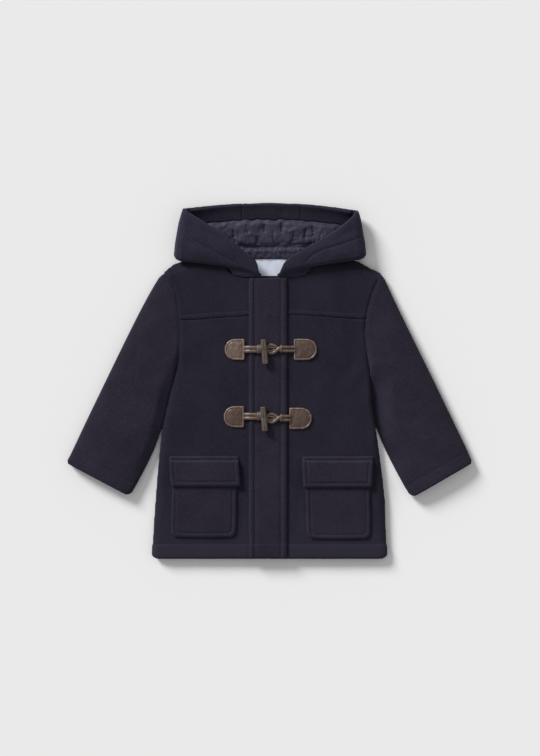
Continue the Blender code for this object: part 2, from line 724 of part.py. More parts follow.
def inward_of(surface, u, v):
    """The unit normal of a surface of two values, on the side that the coat's wearer is."""
    step = 0.004
    u0, u1 = max(u - step, 0.0), min(u + step, 1.0)
    v0, v1 = max(v - step, 0.0), min(v + step, 1.0)
    return (surface(u1, v) - surface(u0, v)).cross(surface(u, v1) - surface(u, v0)).normalized()


def add_hood_side(side):
    columns, rows = 15, len(HOOD_STATIONS) - 1
    flip = 1 if side == "left" else -1

    def place(u, v, face):
        station = HOOD_STATIONS[round(v * rows)]
        point = hood_side(u, station, side)
        if face:
            return point
        if u > 0.69:
            return back_offset(point.x, station, HOOD_WALL)
        return point + flip * HOOD_WALL * inward_of(lambda a, b: hood_side(a, b, side), u, station)

    return add_wall("hood_" + side, columns, rows, place, WOOL)


def add_hood_gusset():
    columns, rows = 6, len(HOOD_STATIONS) - 1

    def place(u, v, face):
        x = between(GUSSET_X[0] + GAP / 2, GUSSET_X[1] - GAP / 2, u)
        return back_offset(x, HOOD_STATIONS[round(v * rows)], 0.0 if face else HOOD_WALL)

    return add_wall("hood_gusset", columns, rows, place, WOOL)


def add_hood_facing():
    columns, rows = 20, 4

    def place(u, v, face):
        station = between(FACING_FROM, 0.99, v)
        x = between(FACING_X[0], FACING_X[1], u)
        return back_offset(x, station, HOOD_WALL + GAP + (FACING_THICK if face else 0.0))

    return add_wall("hood_facing", columns, rows, place, WOOL)


def quilt_rise(x, y):
    """The lining's puffs between its quilted seam and its gathered pleats."""
    rise = QUILT_RISE * (1 - math.exp(-(((y - QUILT_SEAM_Y) / QUILT_SEAM_WIDTH) ** 2)))
    for pleat_x, pleat_y in LINING_PLEATS:
        away = ((x - pleat_x) / PLEAT_WIDTH) ** 2 + ((y - pleat_y) / PLEAT_LENGTH) ** 2
        rise -= PLEAT_DEPTH * math.exp(-away)
    return max(rise, 0.0)


def add_hood_lining():
    columns, rows = 24, 12

    def place(u, v, face):
        index = round(v * rows)
        if index < 2:
            x = table(LINING_REACH, 0.0, 1) * (2 * u - 1)
            y = LINING_FOOT[0] if index == 0 else table(NECK_AND_SHOULDER, abs(x), 2) + LINING_LIP
            thick = LINING_FOOT[1] if index == 0 else LINING_THICK
            return x, y, SEAM_Z + GAP / 2 + (thick if face else 0.0)
        station = between(0.09, FACING_FROM - 0.015, (index - 2) / (rows - 2))
        x = table(LINING_REACH, station, 1) * (2 * u - 1)
        if not face:
            return back_offset(x, station, HOOD_WALL + GAP)
        y = hood_back(x, station).y
        inward = min(u, 1 - u, v, 1 - v)
        rise = quilt_rise(x, y) * ease(inward / 0.08)
        return back_offset(x, station, HOOD_WALL + GAP + LINING_THICK + rise)

    return add_wall("hood_lining", columns, rows, place, LINING)


def start_scene():
    for obj in list(bpy.data.objects):
        bpy.data.objects.remove(obj, do_unlink=True)
    coat = bpy.data.collections.new("hooded duffle coat")
    bpy.context.scene.collection.children.link(coat)


def main():
    start_scene()
    add_back()
    for side in ("left", "right"):
        add_front(side)
        add_yoke(side)
    add_sleeve("left", SLEEVE_LEFT)
    add_sleeve("right", SLEEVE_RIGHT)
    add_placket()
    add_pockets()
    for side, *outline in FLAPS:
        add_flap(side, outline)
    add_patches()
    add_straps()
    for name, left_y, right_y, toggle_x, toggle_y in CLOSURES:
        add_loop(name, right_y)
        add_toggle(name, toggle_x, toggle_y)
    add_label()
    for side in ("left", "right"):
        add_hood_side(side)
    add_hood_gusset()
    add_hood_facing()
    add_hood_lining()


main()
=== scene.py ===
import math

import bpy
import numpy as np
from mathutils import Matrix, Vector
from mathutils.bvhtree import BVHTree


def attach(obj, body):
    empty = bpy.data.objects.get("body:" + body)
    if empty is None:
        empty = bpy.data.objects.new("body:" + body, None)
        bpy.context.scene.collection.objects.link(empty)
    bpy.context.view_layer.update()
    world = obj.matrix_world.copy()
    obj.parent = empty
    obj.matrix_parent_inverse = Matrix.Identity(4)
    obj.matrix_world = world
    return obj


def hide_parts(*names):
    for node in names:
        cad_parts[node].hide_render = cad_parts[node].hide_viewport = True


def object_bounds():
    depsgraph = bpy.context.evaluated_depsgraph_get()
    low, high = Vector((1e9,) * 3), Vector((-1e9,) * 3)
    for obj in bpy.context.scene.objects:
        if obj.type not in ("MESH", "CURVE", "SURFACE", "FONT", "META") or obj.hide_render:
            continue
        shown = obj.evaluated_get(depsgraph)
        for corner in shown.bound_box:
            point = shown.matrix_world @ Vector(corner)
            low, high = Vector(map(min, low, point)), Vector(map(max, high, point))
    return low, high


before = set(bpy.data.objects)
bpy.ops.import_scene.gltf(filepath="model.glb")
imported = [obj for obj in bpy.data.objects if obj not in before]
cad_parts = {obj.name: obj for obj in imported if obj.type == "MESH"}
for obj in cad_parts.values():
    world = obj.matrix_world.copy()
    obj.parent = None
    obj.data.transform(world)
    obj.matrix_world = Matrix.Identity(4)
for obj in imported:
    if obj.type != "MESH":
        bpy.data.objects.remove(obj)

cadLow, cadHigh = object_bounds()
mm = 0.001
scene = bpy.context.scene


# Working with objects

def selectOnly(piece):
    bpy.ops.object.select_all(action="DESELECT")
    piece.select_set(True)
    bpy.context.view_layer.objects.active = piece


def applyModifier(piece, kind, **settings):
    selectOnly(piece)
    bpy.ops.object.modifier_add(type=kind)
    modifier = piece.modifiers[-1]
    for name, value in settings.items():
        setattr(modifier, name, value)
    bpy.ops.object.modifier_apply(modifier=modifier.name)


def placeInMesh(piece):
    selectOnly(piece)
    bpy.ops.object.transform_apply(location=True, rotation=True, scale=True)


def pointsOf(piece):
    points = np.empty(len(piece.data.vertices) * 3)
    piece.data.vertices.foreach_get("co", points)
    return points.reshape(-1, 3) / mm


def normalsOf(piece):
    normals = np.empty(len(piece.data.vertices) * 3)
    piece.data.vertices.foreach_get("normal", normals)
    return normals.reshape(-1, 3)


def setPoints(piece, points):
    piece.data.vertices.foreach_set("co", (points * mm).ravel())
    piece.data.update()


def paintPoints(piece, name, values):
    # a value for each point, which a material reads by its name
    piece.data.attributes.new(name, "FLOAT", "POINT").data.foreach_set("value", values)


def finishPiece(piece, slot, material, *nodes):
    piece.data.materials.clear()
    piece.data.materials.append(material)
    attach(piece, "root")
    if nodes:
        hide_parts(*nodes)
    return piece


# Cloth is laid on its solid's form: an even mesh round it, softened, whose points are then moved

def copyOfNode(node, name):
    piece = bpy.data.objects.new(name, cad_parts[node].data.copy())
    piece.data.name = name
    scene.collection.objects.link(piece)
    selectOnly(piece)
    bpy.ops.object.mode_set(mode="EDIT")
    bpy.ops.mesh.select_all(action="SELECT")
    bpy.ops.mesh.remove_doubles(threshold=0.00002)
    bpy.ops.object.mode_set(mode="OBJECT")
    return piece


def swell(piece, amount):
    # fills out what the softening took, so that pieces sewn together meet again
    points = pointsOf(piece)
    lowest = max(points[:, 2].min(), 0)
    points += amount * normalsOf(piece)
    points[:, 2] = np.maximum(points[:, 2], lowest)
    setPoints(piece, points)


def clothOver(node, name, weave, soften, fill=0.5):
    piece = copyOfNode(node, name)
    applyModifier(piece, "REMESH", mode="VOXEL", voxel_size=weave * mm)
    applyModifier(piece, "SMOOTH", factor=0.5, iterations=soften)
    swell(piece, fill)
    selectOnly(piece)
    bpy.ops.object.shade_smooth()
    return piece


def tubeOver(node, name, levels, fill=0.5):
    # keeps the hollow inside a sleeve, which an even mesh would close, and holds its two rims
    piece = copyOfNode(node, name)
    selectOnly(piece)
    bpy.ops.object.mode_set(mode="EDIT")
    bpy.ops.mesh.select_all(action="SELECT")
    bpy.ops.mesh.tris_convert_to_quads(face_threshold=math.radians(60),
                                       shape_threshold=math.radians(70))
    bpy.ops.mesh.select_all(action="DESELECT")
    bpy.ops.mesh.edges_select_sharp(sharpness=math.radians(55))
    bpy.ops.transform.edge_crease(value=0.85)
    bpy.ops.object.mode_set(mode="OBJECT")
    applyModifier(piece, "SUBSURF", levels=levels, render_levels=levels)
    swell(piece, fill)
    selectOnly(piece)
    bpy.ops.object.shade_smooth()
    return piece


def softStep(low, high, value):
    # 0 at low, 1 at high, and high may lie below low
    t = np.clip((value - low) / (high - low), 0, 1)
    return t * t * (3 - 2 * t)


def bell(distance, width):
    # 1 on a line, falling away smoothly on both sides of it
    return np.exp(-((distance / width) ** 2))


def toPath(x, y, path):
    # distance to a drawn line and how far along it, 0 to 1
    best = np.full(len(x), 1e9)
    along = np.zeros(len(x))
    lengths = [math.dist(a, b) for a, b in zip(path, path[1:])]
    total, run = sum(lengths), 0.0
    for (ax, ay), (bx, by), length in zip(path, path[1:], lengths):
        t = np.clip(((x - ax) * (bx - ax) + (y - ay) * (by - ay)) / length**2, 0, 1)
        distance = np.hypot(x - ax - t * (bx - ax), y - ay - t * (by - ay))
        nearer = distance < best
        best = np.where(nearer, distance, best)
        along = np.where(nearer, (run + t * length) / total, along)
        run += length
    return best, along


def crease(x, y, path, width, height, fade=0.25):
    # a soft ridge along a drawn line, or a trough where the height is below 0, fading at its ends
    distance, along = toPath(x, y, path)
    ends = softStep(0, fade, along) * softStep(0, fade, 1 - along) if fade else 1.0
    return height * bell(distance, width) * ends


def creases(x, y, rows):
    total = np.zeros(len(x))
    for row in rows:
        total += crease(x, y, *row)
    return total


def sewnSeam(x, y, path, depth=0.7, puff=0.35):
    # cloth pulled down into a seam, with the wadding standing up beside it
    distance, _ = toPath(x, y, path)
    return puff * bell(distance - 5, 3.2) - depth * bell(distance, 1.9)


def stitchDitch(x, y, paths, depth=0.5, width=1.5):
    # the furrow that a row of stitching presses into thick wool
    total = np.zeros(len(x))
    for path in paths:
        distance, _ = toPath(x, y, path)
        total -= depth * bell(distance, width)
    return total


def unevenness(x, y, size, seed):
    # the slow rise and fall of cloth that was made and laid by hand, about -1 to 1
    draw = np.random.default_rng(seed)
    total = np.zeros(len(x))
    for _ in range(10):
        turn, phase = draw.uniform(0, 2 * math.pi, 2)
        length = size * draw.uniform(0.65, 1.6)
        total += np.sin(2 * math.pi * (x * math.cos(turn) + y * math.sin(turn)) / length + phase)
    return total / 4


def raiseWhole(piece, wave):
    # a piece that lies on another follows its rise and fall
    points = pointsOf(piece)
    points[:, 2] += wave(points[:, 0], points[:, 1])
    setPoints(piece, points)


def reshape(piece, above, below=None):
    # moves what faces up by above(x, y), and what faces down by below(x, y)
    points, normals = pointsOf(piece), normalsOf(piece)
    x, y = points[:, 0], points[:, 1]
    up = softStep(0.05, 0.7, normals[:, 2])
    points[:, 2] += above(x, y) * up
    if below:
        points[:, 2] += below(x, y) * softStep(0.05, 0.7, -normals[:, 2])
    setPoints(piece, points)


# Materials

def linear(hexColour):
    parts = [int(hexColour[i:i + 2], 16) / 255 for i in (1, 3, 5)]
    return tuple(p / 12.92 if p <= 0.04045 else ((p + 0.055) / 1.055) ** 2.4 for p in parts) + (1.0,)


def addNode(material, kind, links=None, **settings):
    # settings named after an input go to its socket, the others to the node itself
    node = material.node_tree.nodes.new(kind)
    for name, value in settings.items():
        if hasattr(node, name):
            setattr(node, name, value)
        else:
            node.inputs[name.replace("_", " ")].default_value = value
    for socket, source in (links or {}).items():
        material.node_tree.links.new(source, node.inputs[socket])
    return node


def newMaterial(name, **surface):
    material = bpy.data.materials.new(name)
    material.use_nodes = True
    shader = material.node_tree.nodes["Principled BSDF"]
    for socket, value in surface.items():
        shader.inputs[socket.replace("_", " ")].default_value = value
    return material, shader


def connect(material, source, target):
    material.node_tree.links.new(source, target)


def noiseAt(material, place, size, detail=3.0, roughness=0.6, distortion=0.0):
    # size is the pattern's own size in mm
    node = addNode(material, "ShaderNodeTexNoise", {"Vector": place}, Scale=1000 / size, Detail=detail,
                   Roughness=roughness, Distortion=distortion)
    return node.outputs["Fac"]


def stretched(material, place, scale):
    return addNode(material, "ShaderNodeMapping", {"Vector": place}, Scale=scale).outputs["Vector"]


def remap(material, value, low, high, toLow=0.0, toHigh=1.0):
    node = addNode(material, "ShaderNodeMapRange", {"Value": value})
    for socket, number in (("From Min", low), ("From Max", high), ("To Min", toLow), ("To Max", toHigh)):
        node.inputs[socket].default_value = number
    return node.outputs["Result"]


def mathOf(material, operation, first, second, third=None):
    node = addNode(material, "ShaderNodeMath", operation=operation)
    for index, value in enumerate((first, second, third)):
        if value is None:
            continue
        if isinstance(value, (int, float)):
            node.inputs[index].default_value = value
        else:
            connect(material, value, node.inputs[index])
    return node.outputs[0]


def blendColour(material, share, first, second):
    node = addNode(material, "ShaderNodeMix", {0: share}, data_type="RGBA")
    for socket, colour in ((6, first), (7, second)):
        if isinstance(colour, str):
            node.inputs[socket].default_value = linear(colour)
        else:
            connect(material, colour, node.inputs[socket])
    return node.outputs[2]


def addBump(material, shader, height, strength, distance):
    bump = addNode(material, "ShaderNodeBump", {"Height": height}, Strength=strength,
                   Distance=distance * mm)
    connect(material, bump.outputs["Normal"], shader.inputs["Normal"])


woolLook = {
    "plain": ("#191721", "#2b2834"),
    "across": ("#1e1b26", "#322e3b"),  # painted light: a paler copy of the same wool for the sleeves, placket, pockets and flaps, which show brighter
    "brushed": ("#201d2a", "#363341"),  # painted light: a still paler copy of the same wool for the hood, which shows brighter still
    "clump": 3.0,  # mm, matted tufts, drawn coarser than the real nap so that they show
    "fibre": 0.8,
    "patch": 42,  # the slow change of depth over the cloth
}


def feltedWool(name, dark, light):
    # milled wool: the nap scatters light, so no gloss, a faint sheen at grazing angles and matted tufts
    material, shader = newMaterial(name, Roughness=0.95, IOR=1.45, Specular_IOR_Level=0.12,
                                   Sheen_Weight=0.3, Sheen_Roughness=0.55)
    shader.inputs["Sheen Tint"].default_value = linear("#747086")
    place = addNode(material, "ShaderNodeTexCoord").outputs["Object"]
    tufts = noiseAt(material, place, woolLook["clump"], 4.0, 0.65, 0.4)
    fibres = noiseAt(material, place, woolLook["fibre"], 2.0)
    worn = mathOf(material, "MULTIPLY", noiseAt(material, place, woolLook["patch"], 2.0), 0.3)
    share = mathOf(material, "MULTIPLY_ADD", tufts, fibres, worn)
    paleTowardsHem = addNode(material, "ShaderNodeAttribute", attribute_name="paleTowardsHem").outputs["Fac"]  # paler towards the hem
    share = mathOf(material, "ADD", remap(material, share, 0.25, 0.65), paleTowardsHem)
    colour = blendColour(material, share, dark, light)
    connect(material, colour, shader.inputs["Base Color"])
    addBump(material, shader, mathOf(material, "ADD", tufts, fibres), 0.4, 0.6)
    return material


liningLook = {
    "dark": "#252331",
    "light": "#3a3749",
    "yarn": 0.45,  # mm
    "streak": 5.0,
}


def quiltLining(name):
    # thin woven satin over wadding: soft broad gloss on the puffs and fine yarns across
    material, shader = newMaterial(name, Roughness=0.6, IOR=1.48, Specular_IOR_Level=0.24,
                                   Sheen_Weight=0.35, Sheen_Roughness=0.4, Anisotropic=0.3)
    shader.inputs["Sheen Tint"].default_value = linear("#8a86ac")
    place = addNode(material, "ShaderNodeTexCoord").outputs["Object"]
    yarns = noiseAt(material, stretched(material, place, (0.25, 1.0, 1.0)), liningLook["yarn"], 2.0)
    streaks = noiseAt(material, stretched(material, place, (1.0, 0.35, 1.0)), liningLook["streak"], 3.0)
    share = mathOf(material, "MULTIPLY_ADD", yarns, 0.35, streaks)
    share = remap(material, share, 0.4, 0.95)
    colour = blendColour(material, share, liningLook["dark"], liningLook["light"])
    connect(material, colour, shader.inputs["Base Color"])
    addBump(material, shader, mathOf(material, "MULTIPLY_ADD", streaks, 1.5, yarns), 0.3, 0.35)
    return material


leatherLook = {
    "dark": "#382820",
    "light": "#574136",
    # paler leather, for rubbed rims and for painted highlights
    "worn": "#8a766a",
    "grain": 0.9,  # mm
    "speck": 0.7,
    "scuff": 4.5,
}


def smoothLeather(name):
    # coated leather: fine grain, a soft gloss, paler where its rim is rubbed and where a highlight is
    # painted on
    material, shader = newMaterial(name, IOR=1.5, Specular_IOR_Level=0.55, Coat_Weight=0.18,
                                   Coat_Roughness=0.3)
    place = addNode(material, "ShaderNodeTexCoord").outputs["Object"]
    grain = addNode(material, "ShaderNodeTexVoronoi", {"Vector": place}, Scale=1000 / leatherLook["grain"])
    scuffs = noiseAt(material, place, leatherLook["scuff"], 4.0, 0.65)
    fine = noiseAt(material, place, leatherLook["speck"], 2.0)
    share = remap(material, mathOf(material, "MULTIPLY_ADD", fine, 0.4, scuffs), 0.45, 0.95)
    colour = blendColour(material, share, leatherLook["dark"], leatherLook["light"])
    # rubbed rims, and painted highlights on the upper left patch and the tops of the cords
    rubbedAndLit = addNode(material, "ShaderNodeAttribute", attribute_name="rubbedAndLit").outputs["Fac"]
    share = mathOf(material, "MULTIPLY", rubbedAndLit, remap(material, scuffs, 0.3, 0.7, 0.35, 0.95))
    colour = blendColour(material, share, colour, leatherLook["worn"])
    connect(material, colour, shader.inputs["Base Color"])
    connect(material, remap(material, scuffs, 0.3, 0.7, 0.34, 0.52), shader.inputs["Roughness"])
    height = mathOf(material, "MULTIPLY_ADD", fine, 0.5, grain.outputs["Distance"])
    addBump(material, shader, height, 0.3, 0.25)
    return material


hornLook = {
    "dark": "#2a2520",
    "light": "#5e5247",
    "streak": 0.9,  # mm across, far longer along the toggle
    "cloud": 9.0,
}


def polishedHorn(name):
    # brown horn: streaks run along it and the polish gives a narrow highlight
    material, shader = newMaterial(name, IOR=1.54, Specular_IOR_Level=0.5, Coat_Weight=0.3,
                                   Coat_Roughness=0.18)
    place = addNode(material, "ShaderNodeTexCoord").outputs["Object"]
    streaks = noiseAt(material, stretched(material, place, (1.0, 0.12, 1.0)), hornLook["streak"], 4.0, 0.7)
    cloud = noiseAt(material, place, hornLook["cloud"], 2.0)
    share = remap(material, mathOf(material, "MULTIPLY_ADD", cloud, 0.6, streaks), 0.5, 1.05)
    colour = blendColour(material, share, hornLook["dark"], hornLook["light"])
    connect(material, colour, shader.inputs["Base Color"])
    connect(material, remap(material, streaks, 0.3, 0.7, 0.26, 0.42), shader.inputs["Roughness"])
    addBump(material, shader, streaks, 0.25, 0.2)
    return material


satinLook = {
    "light": "#d6dbea",
    "dark": "#bfc6da",
    "rib": 0.5,  # mm
    "stain": 7.0,
}


def wovenSatin(name):
    # label tape: close ribs along its length with a silky shine across them
    material, shader = newMaterial(name, Roughness=0.42, IOR=1.5, Specular_IOR_Level=0.4, Anisotropic=0.5,
                                   Sheen_Weight=0.2, Sheen_Roughness=0.3)
    place = addNode(material, "ShaderNodeTexCoord").outputs["Object"]
    ribs = addNode(material, "ShaderNodeTexWave", {"Vector": place}, bands_direction="Y",
                   Scale=1000 / satinLook["rib"] / (2 * math.pi), Distortion=0.6, Detail=1.0)
    stain = noiseAt(material, place, satinLook["stain"], 2.0)
    share = mathOf(material, "MULTIPLY_ADD", ribs.outputs["Fac"], 0.4, stain)
    colour = blendColour(material, share, satinLook["dark"], satinLook["light"])
    connect(material, colour, shader.inputs["Base Color"])
    addBump(material, shader, ribs.outputs["Fac"], 0.2, 0.1)
    return material


threadLook = {
    "wool": ("#23202b", "#35313f"),
    "leather": ("#3a302b", "#6b5c53"),
    "label": ("#aab0c0", "#d4d8e2"),
    "ply": 0.5,  # mm
}


def sewingThread(name, dark, light):
    # plied polyester thread: small twisted bands of light
    material, shader = newMaterial(name, Roughness=0.55, IOR=1.5, Specular_IOR_Level=0.35,
                                   Sheen_Weight=0.2, Sheen_Roughness=0.4)
    place = addNode(material, "ShaderNodeTexCoord").outputs["Object"]
    plies = addNode(material, "ShaderNodeTexWave", {"Vector": place}, bands_direction="DIAGONAL",
                    Scale=1000 / threadLook["ply"] / (2 * math.pi), Distortion=1.0)
    colour = blendColour(material, plies.outputs["Fac"], dark, light)
    connect(material, colour, shader.inputs["Base Color"])
    addBump(material, shader, plies.outputs["Fac"], 0.3, 0.1)
    return material


wool = feltedWool("felted wool, navy", *woolLook["plain"])
# painted light: two paler copies of the same wool, for the parts that show brighter
woolPaintedLighter = feltedWool("felted wool, navy, painted lighter", *woolLook["across"])
woolPaintedLighterHood = feltedWool("felted wool, navy, painted lighter for the hood", *woolLook["brushed"])
lining = quiltLining("quilted satin lining, dark navy")
leather = smoothLeather("coated leather, brown, semi-gloss")
horn = polishedHorn("horn, dark brown, polished")
satin = wovenSatin("woven satin tape, white")
woolThread = sewingThread("polyester thread, navy", *threadLook["wool"])
leatherThread = sewingThread("polyester thread, brown", *threadLook["leather"])
labelThread = sewingThread("polyester thread, pale grey", *threadLook["label"])
print("materials mixed")


# The stage: pale floor, soft light from the upper left, camera straight down as in the photograph

stageLook = {
    "floor": "#f0f0f0",
    "ambient": 0.44,
    "key": 3.86,
    "keyAngle": 19,
    "keyFrom": (-19.7, 21.8, 13.2),
    "cameraAt": (0.0007, 0.0036, 2.6),  # m, over the middle of the picture
    "lens": 85,
}


def buildStage():
    bpy.ops.object.select_all(action="DESELECT")
    bpy.ops.mesh.primitive_plane_add(size=8, location=(0, 0, -0.0004))
    floor = bpy.context.object
    floor.name = "floor"
    placeInMesh(floor)
    paper, shader = newMaterial("matt studio paper", Roughness=1.0, Specular_IOR_Level=0.0)
    shader.inputs["Base Color"].default_value = linear(stageLook["floor"])
    floor.data.materials.append(paper)

    world = bpy.data.worlds.new("studio air")
    scene.world = world
    world.use_nodes = True
    world.node_tree.nodes["Background"].inputs["Color"].default_value = (1, 1, 1, 1)
    world.node_tree.nodes["Background"].inputs["Strength"].default_value = stageLook["ambient"]

    bpy.ops.object.light_add(type="SUN")
    key = bpy.context.object
    key.name = "soft key"
    key.data.energy = stageLook["key"]
    key.data.angle = math.radians(stageLook["keyAngle"])
    key.rotation_mode = "QUATERNION"
    key.rotation_quaternion = Vector(stageLook["keyFrom"]).to_track_quat("Z", "Y")

    bpy.ops.object.camera_add(location=stageLook["cameraAt"])
    camera = bpy.context.object
    camera.name = "camera"
    camera.data.lens = stageLook["lens"]
    camera.data.sensor_width = 36
    camera.data.clip_end = 20
    scene.camera = camera
    scene.view_settings.view_transform = "Standard"


buildStage()
print("stage ready")


# Where the seams and the rows of stitching run, in mm as seen from above

inward = {"Left": 1, "Right": -1}  # which way along x the middle of the coat lies
armholes = {
    "Left": [(-134.6, 24), (-131.6, 38), (-130.2, 55), (-130.6, 72), (-131.8, 92), (-135.6, 118),
             (-144.2, 140), (-154.2, 156)],
    "Right": [(145.8, 24), (143, 38), (140.6, 55), (138.2, 72), (140.4, 92), (147, 118),
              (154.6, 140), (162.4, 156)],
}
sideEdges = {
    "Left": [(-169.5, -258), (-168.7, -231), (-164.6, -173), (-157.4, -90), (-147.8, -35), (-134.6, 24)],
    "Right": [(169.5, -258), (168.3, -231), (166.6, -173), (156.4, -90), (147.6, -35), (145.8, 24)],
}
hemRow = [(-164, -237.8), (164, -237.8)]
placketRows = [[(-21.6, -254), (-21.6, 145)], [(17.0, -254), (17.0, 145)]]
yokeRows = [[(-126, 94), (-80, 98.4), (-33, 100.4)], [(29, 102.4), (80, 99.6), (134, 95.6)]]
cuffRows = {
    "Left": [(-280, -106.8), (-200, -149.2)],
    "Right": [(279.5, -107), (203.2, -151)],
}
pocketRows = {
    "Left": [(-136.6, -158), (-137.4, -212), (-135.4, -218), (-129.5, -221.4), (-61, -221.4), (-55.6, -218),
             (-53.8, -212), (-53.4, -158)],
    "Right": [(59.4, -160), (60.2, -214.5), (62, -220.4), (68, -223.8), (133, -223.8), (139, -220.6),
              (141.2, -214.5), (140.2, -160)],
}
flapRows = {
    "Left": [(-139.4, -115.9), (-51.2, -115.9), (-48.4, -147), (-136.4, -147), (-139.4, -115.9)],
    "Right": [(53.4, -116.2), (144.4, -116.2), (142.2, -148.6), (55.4, -148.6), (53.4, -116.2)],
}
hoodRows = {
    "Left": [(-132.7, 219.7), (-122.5, 213.9), (-108, 200.8), (-87.7, 190.7), (-67.4, 179.1),
             (-50.8, 171.8)],
    "Right": [(131.2, 206.6), (116, 200.8), (97.9, 195), (76.1, 188.4), (63.1, 182), (53.7, 173.3)],
}


# Body panels

bodyLook = {  # mm
    "weave": 1.5,
    "backWeave": 2.6,
    "soften": 3,  # passes
    "unevenness": 0.15,
    "folds": 0.7,  # share of the heights in the list below
    "sideFall": 0.7,  # the cloth drops towards the side seams
    "sideWidth": 20,
    "ride": 2.2,  # the right side lies up on the sleeve
    "growth": 0.7,  # the wadding pushes the side edges out
    "hemFrom": -236,  # y where the turned-up hem begins
    "hemGrowth": 1.2,
    "corner": 7,
}
bodyFolds = [  # path, width, height, how soon the ends fade
    ([(-128, 38), (-104, 14), (-72, -8)], 9, -1.0, 0.3),
    ([(-126, 24), (-110, 2), (-88, -18)], 8, 0.7, 0.4),
    ([(136, 44), (112, 12), (84, -14)], 9, -1.1, 0.3),
    ([(141, 28), (122, -2), (102, -22)], 8, 0.7, 0.4),
    ([(-124, -42), (-86, -52), (-44, -56)], 13, -0.8, 0.4),
    ([(44, -66), (88, -60), (134, -48)], 13, -0.8, 0.4),
    ([(-112, 76), (-80, 70), (-44, 78)], 12, 0.6, 0.4),
    ([(46, 80), (84, 68), (118, 72)], 12, 0.6, 0.4),
    ([(-38, -170), (-39, -205), (-36, -236)], 6, -0.7, 0.3),
    ([(40, -160), (42, -200), (39, -236)], 6, -0.7, 0.3),
    ([(-158, -120), (-153, -170), (-160, -222)], 6, 0.7, 0.4),
    ([(158, -110), (156, -170), (161, -225)], 6, 0.6, 0.4),
    ([(-96, 146), (-84, 122), (-60, 108)], 10, 0.7, 0.4),
    ([(104, 150), (92, 126), (64, 112)], 10, 0.7, 0.4),
]


def bodyWave(x, y):
    # the fronts' rise and fall, which the pieces sewn onto them follow
    total = bodyLook["unevenness"] * unevenness(x, y, 46, 3) + bodyLook["folds"] * creases(x, y, bodyFolds)
    for path in sideEdges.values():
        distance, _ = toPath(x, y, path)
        total -= bodyLook["sideFall"] * (1 - np.clip(distance / bodyLook["sideWidth"], 0, 1)) ** 2
    distance, _ = toPath(x, y, sideEdges["Right"])
    ride = softStep(-110, -75, y) * (1 - softStep(-5, 22, y))
    return total + bodyLook["ride"] * ride * bell(distance, 7)


def bodyAbove(x, y):
    seams = sum(sewnSeam(x, y, path) for path in armholes.values())
    return bodyWave(x, y) + seams + stitchDitch(x, y, [hemRow, *yokeRows], 0.45)


def fillEdges(piece):
    # pushes the free side edges and the hem out, so that the cloth looks full there
    points, normals = pointsOf(piece), normalsOf(piece)
    wide = np.abs(points[:, 0])
    belowArm = 1 - softStep(10, 50, points[:, 1])
    facesOut = np.sign(points[:, 0]) * softStep(0.3, 0.9, np.abs(normals[:, 0])) * (wide > 120)
    points[:, 0] += bodyLook["growth"] * facesOut * belowArm
    facesDown = softStep(0.3, 0.9, -normals[:, 1]) * (points[:, 1] < -250)
    points[:, 1] -= 0.8 * bodyLook["growth"] * facesDown
    # the turned-up hem is fuller and its corners are rounded
    wide = np.abs(points[:, 0])
    outward = np.sign(points[:, 0]) * softStep(130, 150, wide)
    hem, corner = bodyLook["hemFrom"], bodyLook["corner"]
    points[:, 0] += outward * bodyLook["hemGrowth"] * softStep(hem, hem - 5, points[:, 1])
    bend = np.clip((corner + cadLow[1] / mm - points[:, 1]) / corner, 0, 1)
    cut = corner * (1 - np.sqrt(1 - bend**2))
    points[:, 0] -= outward * cut * softStep(140, 168, np.abs(points[:, 0]))
    setPoints(piece, points)


def makeBody():
    sheets = {  # node, flat size and area in m
        "frontLeft": ("front_left", (0.168, 0.353), 0.0525),
        "frontRight": ("front_right", (0.173, 0.353), 0.0545),
        "yokeLeft": ("yoke_left", (0.165, 0.092), 0.0108),
        "yokeRight": ("yoke_right", (0.167, 0.092), 0.0116),
    }
    for name, (node, flat, area) in sheets.items():
        piece = clothOver(node, name, bodyLook["weave"], bodyLook["soften"])
        reshape(piece, bodyAbove)
        fillEdges(piece)
        y = pointsOf(piece)[:, 1]
        # the colour is paler towards the hem, and more so on its turned-up part
        paintPoints(piece, "paleTowardsHem", 0.3 * softStep(-120, -230, y) + 0.45 * softStep(-237, -239.5, y))
        finishPiece(piece, "wool", wool, node)


makeBody()
print("body laid")


backFolds = [
    ([(-90, 120), (-20, 108), (70, 122)], 14, -0.9, 0.4),
    ([(-120, 10), (-60, -8), (-10, 2)], 12, -0.8, 0.4),
    ([(30, -60), (80, -74), (130, -62)], 12, -0.8, 0.4),
    ([(-60, -120), (-48, -180), (-54, -236)], 9, -0.8, 0.3),
    ([(50, -130), (60, -190), (56, -238)], 9, -0.8, 0.3),
]


def makeBack():
    # lies flat on the floor, and its dents stand up from it
    piece = clothOver("back", "backPanel", bodyLook["backWeave"], bodyLook["soften"])
    fillEdges(piece)
    reshape(piece, lambda x, y: 0 * x,
            lambda x, y: -creases(x, y, backFolds) - stitchDitch(x, y, [hemRow], 0.6))
    finishPiece(piece, "wool", wool, "back")


makeBack()
print("back laid")


# Sleeves

